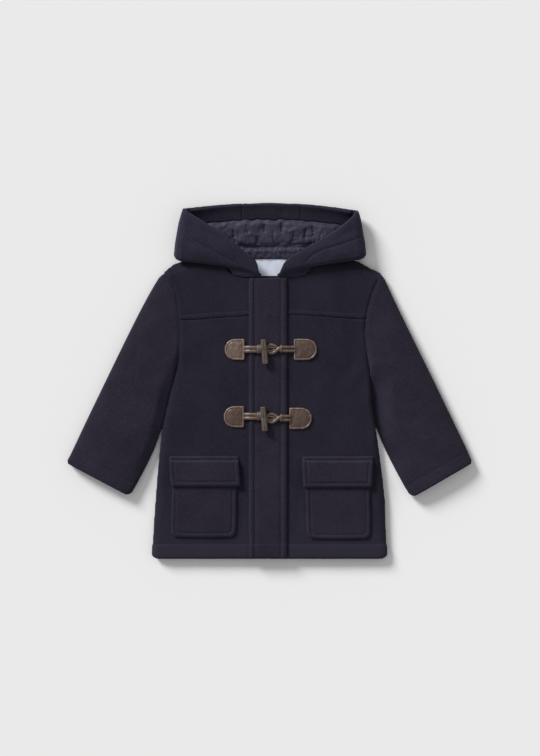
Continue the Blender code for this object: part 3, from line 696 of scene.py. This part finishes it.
sleeveLook = {  # mm
    "crown": 2.2,  # higher along the middle than a flat tube
    "growth": 0.9,
    "reach": 1.5,  # the rim is drawn in to the armhole
    "unevenness": 0.18,
    "folds": 0.8,  # share of the heights in the list below
    "corner": (4, 8),  # at the outer and the inner end of the cuff
    "under": 1.5,  # the inner side slips under the body
    "thin": {"Left": (0.75, 15), "Right": (0.15, 30)},  # share of its height there, how far it reaches
}
cuffs = {  # outer and inner end
    "Left": ((-293.8, -118.6), (-203.0, -166.8)),
    "Right": ((293.8, -118.4), (206.3, -168.9)),
}
sleeveLines = {  # middle of the armhole to middle of the cuff
    "Left": [(-146, 90), (-166, 50), (-196, -24), (-248, -141)],
    "Right": [(156, 92), (170, 60), (202, -24), (250, -142)],
}
innerEdges = {  # from the armpit to the cuff
    "Left": [(-138, 20), (-142.4, -1.5), (-148.4, -27), (-154.2, -53), (-161.4, -83), (-173.2, -111.5),
             (-190.4, -144)],
    "Right": [(148.2, 25.5), (148.6, 4), (149.8, -27), (153.5, -54), (160.4, -82.5), (176.9, -115),
              (192, -145.7)],
}
sleeveFolds = {
    "Left": [
        ([(-140, 44), (-158, 30), (-180, 26)], 7, -1.0, 0.35),
        ([(-146, 16), (-166, 6), (-192, 8)], 7, -0.9, 0.35),
        ([(-160, 100), (-172, 76), (-190, 60)], 10, 0.8, 0.4),
        ([(-172, -40), (-198, -52), (-232, -48)], 9, -0.9, 0.35),
        ([(-178, -70), (-206, -78), (-244, -66)], 9, 0.7, 0.4),
        ([(-206, -128), (-228, -116), (-262, -108)], 7, 0.6, 0.4),
    ],
    "Right": [
        ([(144, 60), (158, 52), (176, 54)], 5, -1.0, 0.35),
        ([(146, 44), (162, 32), (184, 32)], 6, -1.1, 0.35),
        ([(150, 26), (166, 12), (190, 10)], 7, -0.9, 0.35),
        ([(168, 104), (182, 80), (198, 62)], 10, 0.8, 0.4),
        ([(180, -46), (206, -58), (240, -50)], 9, -0.9, 0.35),
        ([(190, -84), (216, -92), (250, -80)], 9, 0.7, 0.4),
    ],
}


def fillSleeve(side, points, normals):
    # the wadding fills the sleeve out, and its rim is drawn in to the armhole
    outside = softStep(-0.3, 0.3, np.abs(normals[:, 2]) + np.hypot(normals[:, 0], normals[:, 1]))
    offFloor = points[:, 2] > 3
    points[:, :2] += sleeveLook["growth"] * normals[:, :2] * (outside * offFloor)[:, None]
    rim, _ = toPath(points[:, 0], points[:, 1], armholes[side])
    reach = sleeveLook["reach"] * (1 + 1.2 * softStep(130, 152, points[:, 1]))
    points[:, 0] += inward[side] * reach * (1 - softStep(0, 9, rim))


def roundCuff(side, points):
    outer, inner = (np.array(end) for end in cuffs[side])
    length = np.hypot(*(inner - outer))
    edgeWay = (inner - outer) / length
    upWay = np.array([-edgeWay[1], edgeWay[0]]) * inward[side]
    along, up = (points[:, :2] - outer) @ edgeWay, (points[:, :2] - outer) @ upWay
    corner = np.where(along < length / 2, *sleeveLook["corner"])
    bend = np.clip(1 - np.minimum(along, length - along) / corner, 0, 1)
    lift = 0.8 * corner * (1 - np.sqrt(1 - bend**2)) * (1 - softStep(4, 26, up))
    points[:, :2] += lift[:, None] * upWay


def tuckInnerSide(side, points):
    # the inner side lies thin beside the body, and slips under it down to where the two part
    distance, along = toPath(points[:, 0], points[:, 1], innerEdges[side])
    share, width = sleeveLook["thin"][side]
    near = (1 - softStep(0, width, distance)) * softStep(0, 0.28, along) * (1 - softStep(0.75, 1, along))
    points[:, 2] *= 1 - (1 - share) * near
    under = (1 - softStep(0, 9, distance)) * softStep(0, 0.1, along) * (1 - softStep(0.48, 0.6, along))
    points[:, 0] += inward[side] * sleeveLook["under"] * under


def sleeveAbove(side, x, y):
    middle, along = toPath(x, y, sleeveLines[side])
    crown = sleeveLook["crown"] * np.clip(1 - (middle / 52) ** 2, 0, 1) * softStep(0.0, 0.25, along)
    worn = sleeveLook["unevenness"] * unevenness(x, y, 40, 11)
    worn += sleeveLook["folds"] * creases(x, y, sleeveFolds[side])
    return crown + worn + sewnSeam(x, y, armholes[side]) + stitchDitch(x, y, [cuffRows[side]], 0.8)


def makeSleeve(side):
    piece = tubeOver("sleeve_" + side.lower(), "sleeve" + side, 3)
    points = pointsOf(piece)
    fillSleeve(side, points, normalsOf(piece))
    roundCuff(side, points)
    tuckInnerSide(side, points)
    upperWall = softStep(8, 9.5, points[:, 2])  # outside and inside alike
    points[:, 2] += sleeveAbove(side, points[:, 0], points[:, 1]) * upperWall
    setPoints(piece, points)
    finishPiece(piece, "wool", woolPaintedLighter, "sleeve_" + side.lower())


for side in ("Left", "Right"):
    makeSleeve(side)
print("sleeves laid")


# Placket, pockets and flaps lie on the fronts

frontPieces = {  # node, weave in mm, flat size in m, rows of stitching
    "placketBand": ("placket", 1.25, (0.055, 0.407), placketRows),
    "pocketLeft": ("pocket_left", 1.1, (0.094, 0.106), [pocketRows["Left"]]),
    "pocketRight": ("pocket_right", 1.1, (0.094, 0.108), [pocketRows["Right"]]),
    "flapLeft": ("flap_left", 1.1, (0.101, 0.044), [flapRows["Left"]]),
    "flapRight": ("flap_right", 1.1, (0.101, 0.045), [flapRows["Right"]]),
}


def makeFrontPieces():
    for name, (node, weave, flat, rows) in frontPieces.items():
        piece = clothOver(node, name, weave, 2)
        reshape(piece, lambda x, y: stitchDitch(x, y, rows, 0.6, 1.3))
        raiseWhole(piece, bodyWave)
        finishPiece(piece, "wool", woolPaintedLighter, node)


makeFrontPieces()
print("placket and pockets sewn on")


# Hood

hoodLook = {  # mm
    "unevenness": 0.22,
    "channelDepth": 0.9,
    "rimRise": 2.0,
    "rimWaver": 0.9,
}
hoodFolds = [
    ([(-128, 196), (-100, 184), (-70, 172)], 7, 0.8, 0.4),
    ([(-126, 206), (-104, 196), (-84, 184)], 5, -0.7, 0.4),
    ([(-60, 204), (-84, 222), (-108, 238)], 6, 0.7, 0.3),
    ([(128, 192), (104, 184), (78, 176)], 7, 0.8, 0.4),
    ([(132, 224), (110, 212), (92, 202)], 5, -0.7, 0.4),
    ([(60, 198), (86, 212), (110, 228)], 6, 0.7, 0.3),
]
facingSeams = [
    ([(-39.9, 256), (-39.9, 226)], 1.1, -1.0, 0),
    ([(45.4, 256), (45.4, 226)], 1.1, -1.0, 0),
    ([(16.7, 249), (22.5, 238)], 1.8, -0.9, 0.2),
]
hoodPieces = {  # node, weave in mm, flat size and area in m
    "hoodLeft": ("hood_left", 1.3, (0.17, 0.12), 0.0168),
    "hoodRight": ("hood_right", 1.3, (0.17, 0.12), 0.0154),
    "hoodGusset": ("hood_gusset", 1.6, (0.086, 0.092), 0.0076),
    "hoodFacing": ("hood_facing", 1.1, (0.226, 0.036), 0.008),
}


def hoodAbove(x, y):
    channels = stitchDitch(x, y, hoodRows.values(), hoodLook["channelDepth"], 1.7)
    return hoodLook["unevenness"] * unevenness(x, y, 34, 21) + creases(x, y, hoodFolds) + channels


def gatherRim(piece):
    # the seam between facing and lining rises in the middle and wavers, because the lining is gathered
    points = pointsOf(piece)
    x, y = points[:, 0], points[:, 1]
    shift = hoodLook["rimRise"] * np.clip(1 - (x / 95) ** 2, 0, 1)
    shift += hoodLook["rimWaver"] * unevenness(x, 0 * y, 18, 51)
    points[:, 1] += shift * bell(y - 232, 7)
    setPoints(piece, points)


def makeHood():
    for name, (node, weave, flat, area) in hoodPieces.items():
        piece = clothOver(node, name, weave, 2, 0.7)
        if name == "hoodFacing":
            reshape(piece, lambda x, y: creases(x, y, facingSeams))
            gatherRim(piece)
        if name in ("hoodLeft", "hoodRight"):
            points = pointsOf(piece)
            flap = softStep(9, 13, points[:, 2])  # the part that is folded over
            points[:, 2] += hoodAbove(points[:, 0], points[:, 1]) * flap
            setPoints(piece, points)
        finishPiece(piece, "wool", wool if node == "hood_facing" else woolPaintedLighterHood, node)


makeHood()
print("hood laid")


# Quilted lining, gathered into its seams

quiltLook = {  # mm
    "weave": 0.9,
    "pucker": 0.42,
    "puff": 0.9,
    "seam": 0.8,
    "crush": 0.35,
}
quiltSeam = [(-104, 214), (-78, 207), (-52.9, 203.7), (-35.5, 193.6), (3.6, 193.6), (19.6, 201),
             (32.6, 197.9), (55.8, 197.9), (84, 203), (106, 210)]
liningFolds = [
    ([(-52.9, 219), (-51.5, 206)], 1.8, -2.2, 0.2),
    ([(-8, 227), (-6.5, 214)], 1.7, -2.2, 0.2),
    ([(16.7, 228), (18.5, 214)], 1.8, -2.4, 0.2),
    ([(-18.1, 210), (-16, 197)], 1.8, -2.2, 0.2),
    ([(52.9, 222), (51, 205)], 1.8, -2.2, 0.2),
    ([(61.6, 224), (64, 213)], 1.6, -2.0, 0.2),
    ([(36, 212), (33, 200)], 1.6, -1.8, 0.2),
    ([(-34, 226), (-30, 212)], 1.6, -1.6, 0.2),
    ([(4, 211), (8, 197)], 1.5, -1.5, 0.2),
    ([(-45, 208), (-28, 213), (-10, 208)], 2.4, 0.9, 0.3),
    ([(10, 220), (28, 216), (46, 221)], 2.4, 0.9, 0.3),
    ([(-70, 216), (-60, 224), (-44, 226)], 2.2, -1.0, 0.3),
    ([(70, 214), (60, 208), (44, 208)], 2.2, -1.0, 0.3),
]


def liningAbove(x, y):
    distance, _ = toPath(x, y, quiltSeam)
    total = creases(x, y, liningFolds)
    total += quiltLook["puff"] * (1 - bell(distance, 4.5))
    total -= quiltLook["seam"] * bell(distance, 1.3)
    # fine gathers fan out from the seam and die away on the puffs
    wander = 3.2 * unevenness(x, y, 21, 5)
    gathers = np.sin(2 * math.pi * (x + wander) / 8.2)
    gathers += 0.6 * np.sin(2 * math.pi * (x - 1.4 * wander) / 5.3 + 1)
    patchy = np.clip(0.5 + 0.6 * unevenness(x, y, 26, 17), 0, 1.4)
    fade = bell(distance, 12) * softStep(182, 190, y)
    total += quiltLook["pucker"] * patchy * gathers * fade
    # the strip below the seam is plain but crumpled
    strip = 1 - softStep(190, 195, y)
    return total + quiltLook["crush"] * (unevenness(x, y, 13, 9) + 1.4 * strip * unevenness(x, y, 7, 23))


def makeLining():
    piece = clothOver("hood_lining", "hoodLining", quiltLook["weave"], 1)
    reshape(piece, liningAbove)
    gatherRim(piece)
    finishPiece(piece, "lining", lining, "hood_lining")


makeLining()
print("lining quilted")


# Neck label: a bare tape, sewn along its ends and its top

labelLook = {  # mm
    "low": (-22.5, 151.8),
    "high": (27.0, 176.4),
    "height": 6.1,
    "thick": 0.7,
    "turnIn": 2.2,  # folded under at both ends
    "foldHeight": 0.35,
    "slack": 0.22,
}


def makeLabel():
    bpy.ops.object.select_all(action="DESELECT")
    bpy.ops.mesh.primitive_grid_add(x_subdivisions=60, y_subdivisions=30, size=1)
    tape = bpy.context.object
    tape.name = "neckTape"
    (lowX, lowY), (highX, highY) = labelLook["low"], labelLook["high"]
    points = pointsOf(tape)
    share = points[:, :2] * mm + 0.5
    points[:, 0] = lowX + (highX - lowX) * share[:, 0]
    points[:, 1] = lowY + (highY - lowY) * share[:, 1]
    fromEnd = np.minimum(points[:, 0] - lowX, highX - points[:, 0])
    turnIn = labelLook["turnIn"]
    fold = labelLook["foldHeight"] * (1 - softStep(turnIn - 0.4, turnIn + 0.4, fromEnd))
    slack = labelLook["slack"] * unevenness(points[:, 0], points[:, 1], 20, 31)
    points[:, 2] = labelLook["height"] + fold + slack * softStep(0, 6, highY - points[:, 1])
    setPoints(tape, points)
    applyModifier(tape, "SOLIDIFY", thickness=labelLook["thick"] * mm, offset=-1)
    applyModifier(tape, "BEVEL", width=0.2 * mm, segments=2, limit_method="ANGLE")
    selectOnly(tape)
    bpy.ops.object.shade_smooth()
    finishPiece(tape, "label", satin, "neck_label")


makeLabel()
print("label sewn in")


# Leather patches of the closures

patchLook = {  # mm
    "weave": 0.6,
    "rim": 0.35,  # the rim stands up
    "groove": 0.55,  # pressed by the stitching
    "inset": 3.0,  # from the outline to the stitching
    "dome": 0.7,  # the middle stands higher than the groove
    "roughen": 0.12,
}
patches = {  # straight edge x, round end x, top y, bottom y
    "upper_left": (-36.3, -64.8, 59.9, 30.0),
    "upper_right": (35.6, 68.8, 60.0, 29.7),
    "lower_left": (-36.9, -66.2, -37.4, -67.8),
    "lower_right": (28.9, 61.4, -39.8, -70.2),
}


def insidePatch(x, y, straight, end, top, bottom):
    # distance in from the outline: square-cornered at the straps, half round at the other end
    halfX, halfY = abs(end - straight) / 2, (top - bottom) / 2
    fromX, fromY = x - (straight + end) / 2, y - (top + bottom) / 2
    radius = np.where(fromX * (end - straight) > 0, halfY - 0.2, 1.5)
    outX, outY = np.abs(fromX) - halfX + radius, np.abs(fromY) - halfY + radius
    beyond = np.hypot(np.maximum(outX, 0), np.maximum(outY, 0))
    return radius - beyond - np.minimum(np.maximum(outX, outY), 0)


def patchRow(straight, end, top, bottom):
    # the row of stitching round a patch, as a closed path
    inset, way = patchLook["inset"], 1 if end > straight else -1
    radius = (top - bottom) / 2 - inset
    centreX, centreY = end - way * (radius + inset), (top + bottom) / 2
    path = [(straight + way * inset, top - inset)]
    for step in range(13):
        turn = math.pi * (0.5 - step / 12)
        path.append((centreX + way * radius * math.cos(turn), centreY + radius * math.sin(turn)))
    path.append((straight + way * inset, bottom + inset))
    return path + path[:1]


def patchAbove(x, y, outline):
    inside, inset = insidePatch(x, y, *outline), patchLook["inset"]
    rim = patchLook["rim"] * bell(inside - 1.3, 1.0)
    groove = patchLook["groove"] * bell(inside - inset, 0.65)
    dome = patchLook["dome"] * softStep(inset, 11, inside)
    return rim - groove + dome + patchLook["roughen"] * unevenness(x, y, 9, 41)


def patchName(name):
    return "patch" + name.title().replace("_", "")


def makePatches():
    for name, outline in patches.items():
        piece = clothOver("patch_" + name, patchName(name), patchLook["weave"], 2, 0.4)
        reshape(piece, lambda x, y: patchAbove(x, y, outline))
        points = pointsOf(piece)
        rubbedAndLit = 0.8 * (1 - softStep(1.0, 2.3, insidePatch(points[:, 0], points[:, 1], *outline)))
        if name == "upper_left":  # painted highlight: this patch is made paler all over, where its gloss catches the light
            rubbedAndLit = 0.75 * rubbedAndLit + 0.5
        paintPoints(piece, "rubbedAndLit", rubbedAndLit)
        raiseWhole(piece, bodyWave)
        finishPiece(piece, "leather", leather, "patch_" + name)


makePatches()
print("patches sewn on")


# Cords of the closures: a pair from each patch, knotted to the toggle or looped round it

cordLook = {  # mm
    "thick": 5.4,
    "flat": 0.68,  # height as a share of the width
    "apart": 5.4,
    "eye": 4.644,
    "binding": 2.3,
    "neck": 4.2,
    "knot": 2.7,
    "keeper": 1.5,
}
frontTop = 13.3  # mm above the floor
placketTop = 16.9
closures = {  # y of the left and the right cords, middle of the toggle, edges of the two patches
    "Upper": (45.2, 45.6, (-7.4, 41.4), -37.5, 37.0),
    "Lower": (-51.8, -54.4, (-7.9, -55.6), -38.0, 30.4),
}


def cordAlong(name, path, thick, flat=1.0):
    bpy.ops.object.select_all(action="DESELECT")
    bpy.ops.curve.primitive_nurbs_path_add()
    cord = bpy.context.object
    cord.name = name
    data = cord.data
    data.splines.clear()
    spline = data.splines.new("NURBS")
    spline.points.add(len(path) - 1)
    for point, (x, y, z) in zip(spline.points, path):
        point.co = (x * mm, y * mm, z * mm / flat, 1)
    spline.order_u = 4
    spline.use_endpoint_u = True
    spline.resolution_u = 8
    data.bevel_depth = thick / 2 * mm
    data.bevel_resolution = 4
    data.use_fill_caps = True
    selectOnly(cord)
    bpy.ops.object.convert(target="MESH")
    cord = bpy.context.object
    points = pointsOf(cord)
    points[:, 2] *= flat
    setPoints(cord, points)
    selectOnly(cord)
    bpy.ops.object.shade_smooth_by_angle(angle=math.radians(50))
    return cord


def joinAs(name, pieces):
    bpy.ops.object.select_all(action="DESELECT")
    for piece in pieces:
        piece.select_set(True)
    bpy.context.view_layer.objects.active = pieces[0]
    bpy.ops.object.join()
    joined = bpy.context.object
    joined.name = name
    joined.data.name = name
    return joined


def turnAround(name, middle, lean, halfWidth, halfHeight):
    # one turn of cord round a pair, leaning along it
    x, y, z = middle
    ring = []
    for step in range(9):
        across, up = math.cos(step * math.pi / 4), math.sin(step * math.pi / 4)
        ring.append((x + lean * across, y + halfWidth * across, z + halfHeight * up))
    return cordAlong(name, ring, cordLook[name])


def makeLeftCords(name, y, toggle, eyeY, patchEdge, low, high):
    # a pair from the patch, bound beside the toggle
    parts = []
    for sign in (-1, 1):
        cordY = y + sign * cordLook["apart"] / 2
        route = [(patchEdge, cordY, low + 0.6), (-33, cordY, low + 0.9), (-29, cordY, high + 0.2),
                 (-22, cordY, high), (-13, cordY - sign * 0.5, high)]
        parts.append(cordAlong("cord", route, cordLook["thick"], cordLook["flat"]))
    for step in range(3):
        parts.append(turnAround("binding", (-17.0 + 1.9 * step, y, high + 0.5), 0.3, 6.0, 2.9))
    start, end = (-12.5, y, high + 0.3), (toggle[0], toggle[1] + 2.0, high + 0.4)
    parts.append(cordAlong("neck", [start, start, end, end], cordLook["neck"]))
    # the cord's end, tied below the toggle, fills most of the eye
    knot = [(toggle[0] + 1, eyeY + 1.4, high), (3, eyeY + 2.6, high - 0.4), (7.6, eyeY + 1.6, high - 0.5),
            (7.6, eyeY - 1.6, high - 0.5), (3, eyeY - 2.6, high - 0.4), (toggle[0] + 1, eyeY - 1.4, high)]
    parts.append(cordAlong("knot", knot, cordLook["knot"]))
    cords = joinAs("cordLeft" + name, parts)
    finishPiece(cords, "leather", leather, "strap_" + name.lower() + "_left")
    return cords


def makeRightCords(name, y, patchEdge, low, high):
    # one cord from the patch, crossed, round the toggle and back
    half = cordLook["apart"] / 2
    route = [(patchEdge, y + half, low + 0.5), (30, y + half, low + 0.9), (25, y + half, high + 0.2),
             (18, y + half, high), (13.5, y + 1.4, high + 1.3), (10, y - 2.8, high + 0.7),
             (6, y - 5.8, high), (0, y - 6.2, high), (-4.6, y - 2.8, high - 0.1),
             (-4.6, y + 2.8, high - 0.1), (0, y + 6.2, high), (6, y + 5.8, high),
             (10, y + 2.8, high - 0.2), (13.5, y - 1.4, high - 0.3), (18, y - half, high),
             (25, y - half, high + 0.2), (30, y - half, low + 0.9), (patchEdge, y - half, low + 0.5)]
    parts = [cordAlong("eye", route, cordLook["eye"], cordLook["flat"])]
    for x in (16.4, 17.8):
        parts.append(turnAround("keeper", (x, y, high + 0.2), 0, 5.4, 2.3))
    cords = joinAs("cordRight" + name, parts)
    finishPiece(cords, "leather", leather, "strap_" + name.lower() + "_right", "loop_" + name.lower())
    return cords


def makeCords(name, leftY, rightY, toggle, leftEdge, rightEdge):
    lift = cordLook["thick"] * cordLook["flat"] / 2 + 0.1
    low, high = frontTop + lift, placketTop + lift
    leftCords = makeLeftCords(name, leftY, toggle, rightY, leftEdge, low, high)
    rightCords = makeRightCords(name, rightY, rightEdge, low, high)
    for piece in (leftCords, rightCords):
        # painted highlight: the tops of the cords, which face up to the light, are made paler
        paintPoints(piece, "rubbedAndLit", 0.4 * softStep(0.55, 0.95, normalsOf(piece)[:, 2]))
        raiseWhole(piece, bodyWave)


for name, closure in closures.items():
    makeCords(name, *closure)
print("cords tied")


# Toggles: a horn bar with a groove along its top and a waist for the cord

toggleLook = {  # mm
    "length": 35.5,
    "width": 9.0,
    "height": 8.0,
    "rounding": 0.9,
    "weave": 0.42,
    "tilt": 4.9,  # degrees
    "groove": 1.0,
    "waist": 0.5,
    "middle": 22.5,  # above the floor
}


def makeToggle(name, place):
    bpy.ops.object.select_all(action="DESELECT")
    bpy.ops.mesh.primitive_cylinder_add(vertices=40, radius=0.5, depth=1,
                                        rotation=(math.radians(90), 0, 0))
    toggle = bpy.context.object
    toggle.name = "toggle" + name
    toggle.scale = (toggleLook["width"] * mm, toggleLook["height"] * mm, toggleLook["length"] * mm)
    placeInMesh(toggle)
    applyModifier(toggle, "BEVEL", width=toggleLook["rounding"] * mm, segments=3, limit_method="ANGLE")
    applyModifier(toggle, "REMESH", mode="VOXEL", voxel_size=toggleLook["weave"] * mm)
    applyModifier(toggle, "SMOOTH", factor=0.5, iterations=2)
    points = pointsOf(toggle)
    along = points[:, 1] / (toggleLook["length"] / 2)
    taper = 1 - 0.1 * along**4 - 0.03 * np.sin(3 * along + 1)
    points[:, 0] *= taper
    points[:, 2] *= taper
    upward = softStep(0, 3, points[:, 2])
    groove = toggleLook["groove"] * bell(points[:, 0] - 0.3, 0.8)
    waist = toggleLook["waist"] * bell(points[:, 1] - 1.5, 2.2)
    points[:, 2] -= (groove + waist) * upward
    turn = math.radians(toggleLook["tilt"])
    x, y = points[:, 0].copy(), points[:, 1].copy()
    points[:, 0] = place[0] + x * math.cos(turn) - y * math.sin(turn)
    points[:, 1] = place[1] + x * math.sin(turn) + y * math.cos(turn)
    points[:, 2] += toggleLook["middle"]
    setPoints(toggle, points)
    selectOnly(toggle)
    bpy.ops.object.shade_smooth()
    finishPiece(toggle, "toggle", horn, "toggle_" + name.lower())


for name, closure in closures.items():
    makeToggle(name, closure[2])
print("toggles fastened")


# Stitching: one stitch is modelled and set along each row, on top of the cloth that it holds

stitchLook = {  # length, step from one to the next, thickness of the thread, in mm
    "wool": (3.0, 4.3, 0.55),
    "leather": (1.9, 2.6, 0.5),
    "label": (1.4, 2.0, 0.3),
}
stitchSunk = 0.12  # mm that a stitch lies in the cloth
steepest = 2.5  # mm that its ends may differ in height, past which it would hang off an edge


def modelStitch(length, thick):
    bpy.ops.object.select_all(action="DESELECT")
    bpy.ops.mesh.primitive_uv_sphere_add(segments=6, ring_count=5, radius=0.5,
                                         rotation=(0, math.radians(90), 0))
    stitch = bpy.context.object
    stitch.name = "stitch"
    placeInMesh(stitch)
    stitch.scale = (length * mm, thick * mm, thick * mm)
    placeInMesh(stitch)
    bpy.ops.object.shade_smooth()
    return stitch


def setStitch(model, start, end):
    stitch = bpy.data.objects.new("stitch", model.data.copy())
    scene.collection.objects.link(stitch)
    turn = (end - start).to_track_quat("X", "Z").to_matrix().to_4x4()
    turn.translation = ((start + end) / 2 - Vector((0, 0, stitchSunk))) * mm
    stitch.data.transform(turn)
    return stitch


def sewRows(name, rows, cloth, material, slot):
    length, step, thick = stitchLook[slot]
    model = modelStitch(length, thick)
    depsgraph = bpy.context.evaluated_depsgraph_get()
    surfaces = [BVHTree.FromObject(bpy.data.objects[piece], depsgraph) for piece in cloth]

    def onCloth(x, y):
        hits = [surface.ray_cast(Vector((x, y, 80)) * mm, Vector((0, 0, -1))) for surface in surfaces]
        heights = [hit[0].z / mm for hit in hits if hit[0] is not None]
        return Vector((x, y, max(heights))) if heights else None

    stitches = []
    for path in rows:
        for (ax, ay), (bx, by) in zip(path, path[1:]):
            count = max(round(math.dist((ax, ay), (bx, by)) / step), 1)
            half = min(length / step, 0.75) / count / 2
            for index in range(count):
                middle = (index + 0.5) / count
                start, end = (onCloth(ax + (bx - ax) * t, ay + (by - ay) * t)
                              for t in (middle - half, middle + half))
                if None not in (start, end) and abs(start.z - end.z) <= steepest:
                    stitches.append(setStitch(model, start, end))
    sewn = joinAs(name, stitches)
    bpy.data.objects.remove(model)
    finishPiece(sewn, slot, material)


patchRows = [patchRow(*outline) for outline in patches.values()]
labelRow = [(-21.3, 153), (-21.3, 175), (25.8, 175), (25.8, 153)]
sewRows("stitchingBody", [hemRow, *yokeRows],
        ["frontLeft", "frontRight", "yokeLeft", "yokeRight", "placketBand"], woolThread, "wool")
sewRows("stitchingPlacket", placketRows, ["placketBand"], woolThread, "wool")
sewRows("stitchingSleeves", cuffRows.values(), ["sleeveLeft", "sleeveRight"], woolThread, "wool")
sewRows("stitchingPockets", [*pocketRows.values(), *flapRows.values()],
        ["pocketLeft", "pocketRight", "flapLeft", "flapRight"], woolThread, "wool")
sewRows("stitchingHood", hoodRows.values(), ["hoodLeft", "hoodRight"], woolThread, "wool")
sewRows("stitchingPatches", patchRows, [patchName(name) for name in patches], leatherThread, "leather")
sewRows("stitchingLabel", [labelRow], ["neckTape"], labelThread, "label")
print("rows stitched")
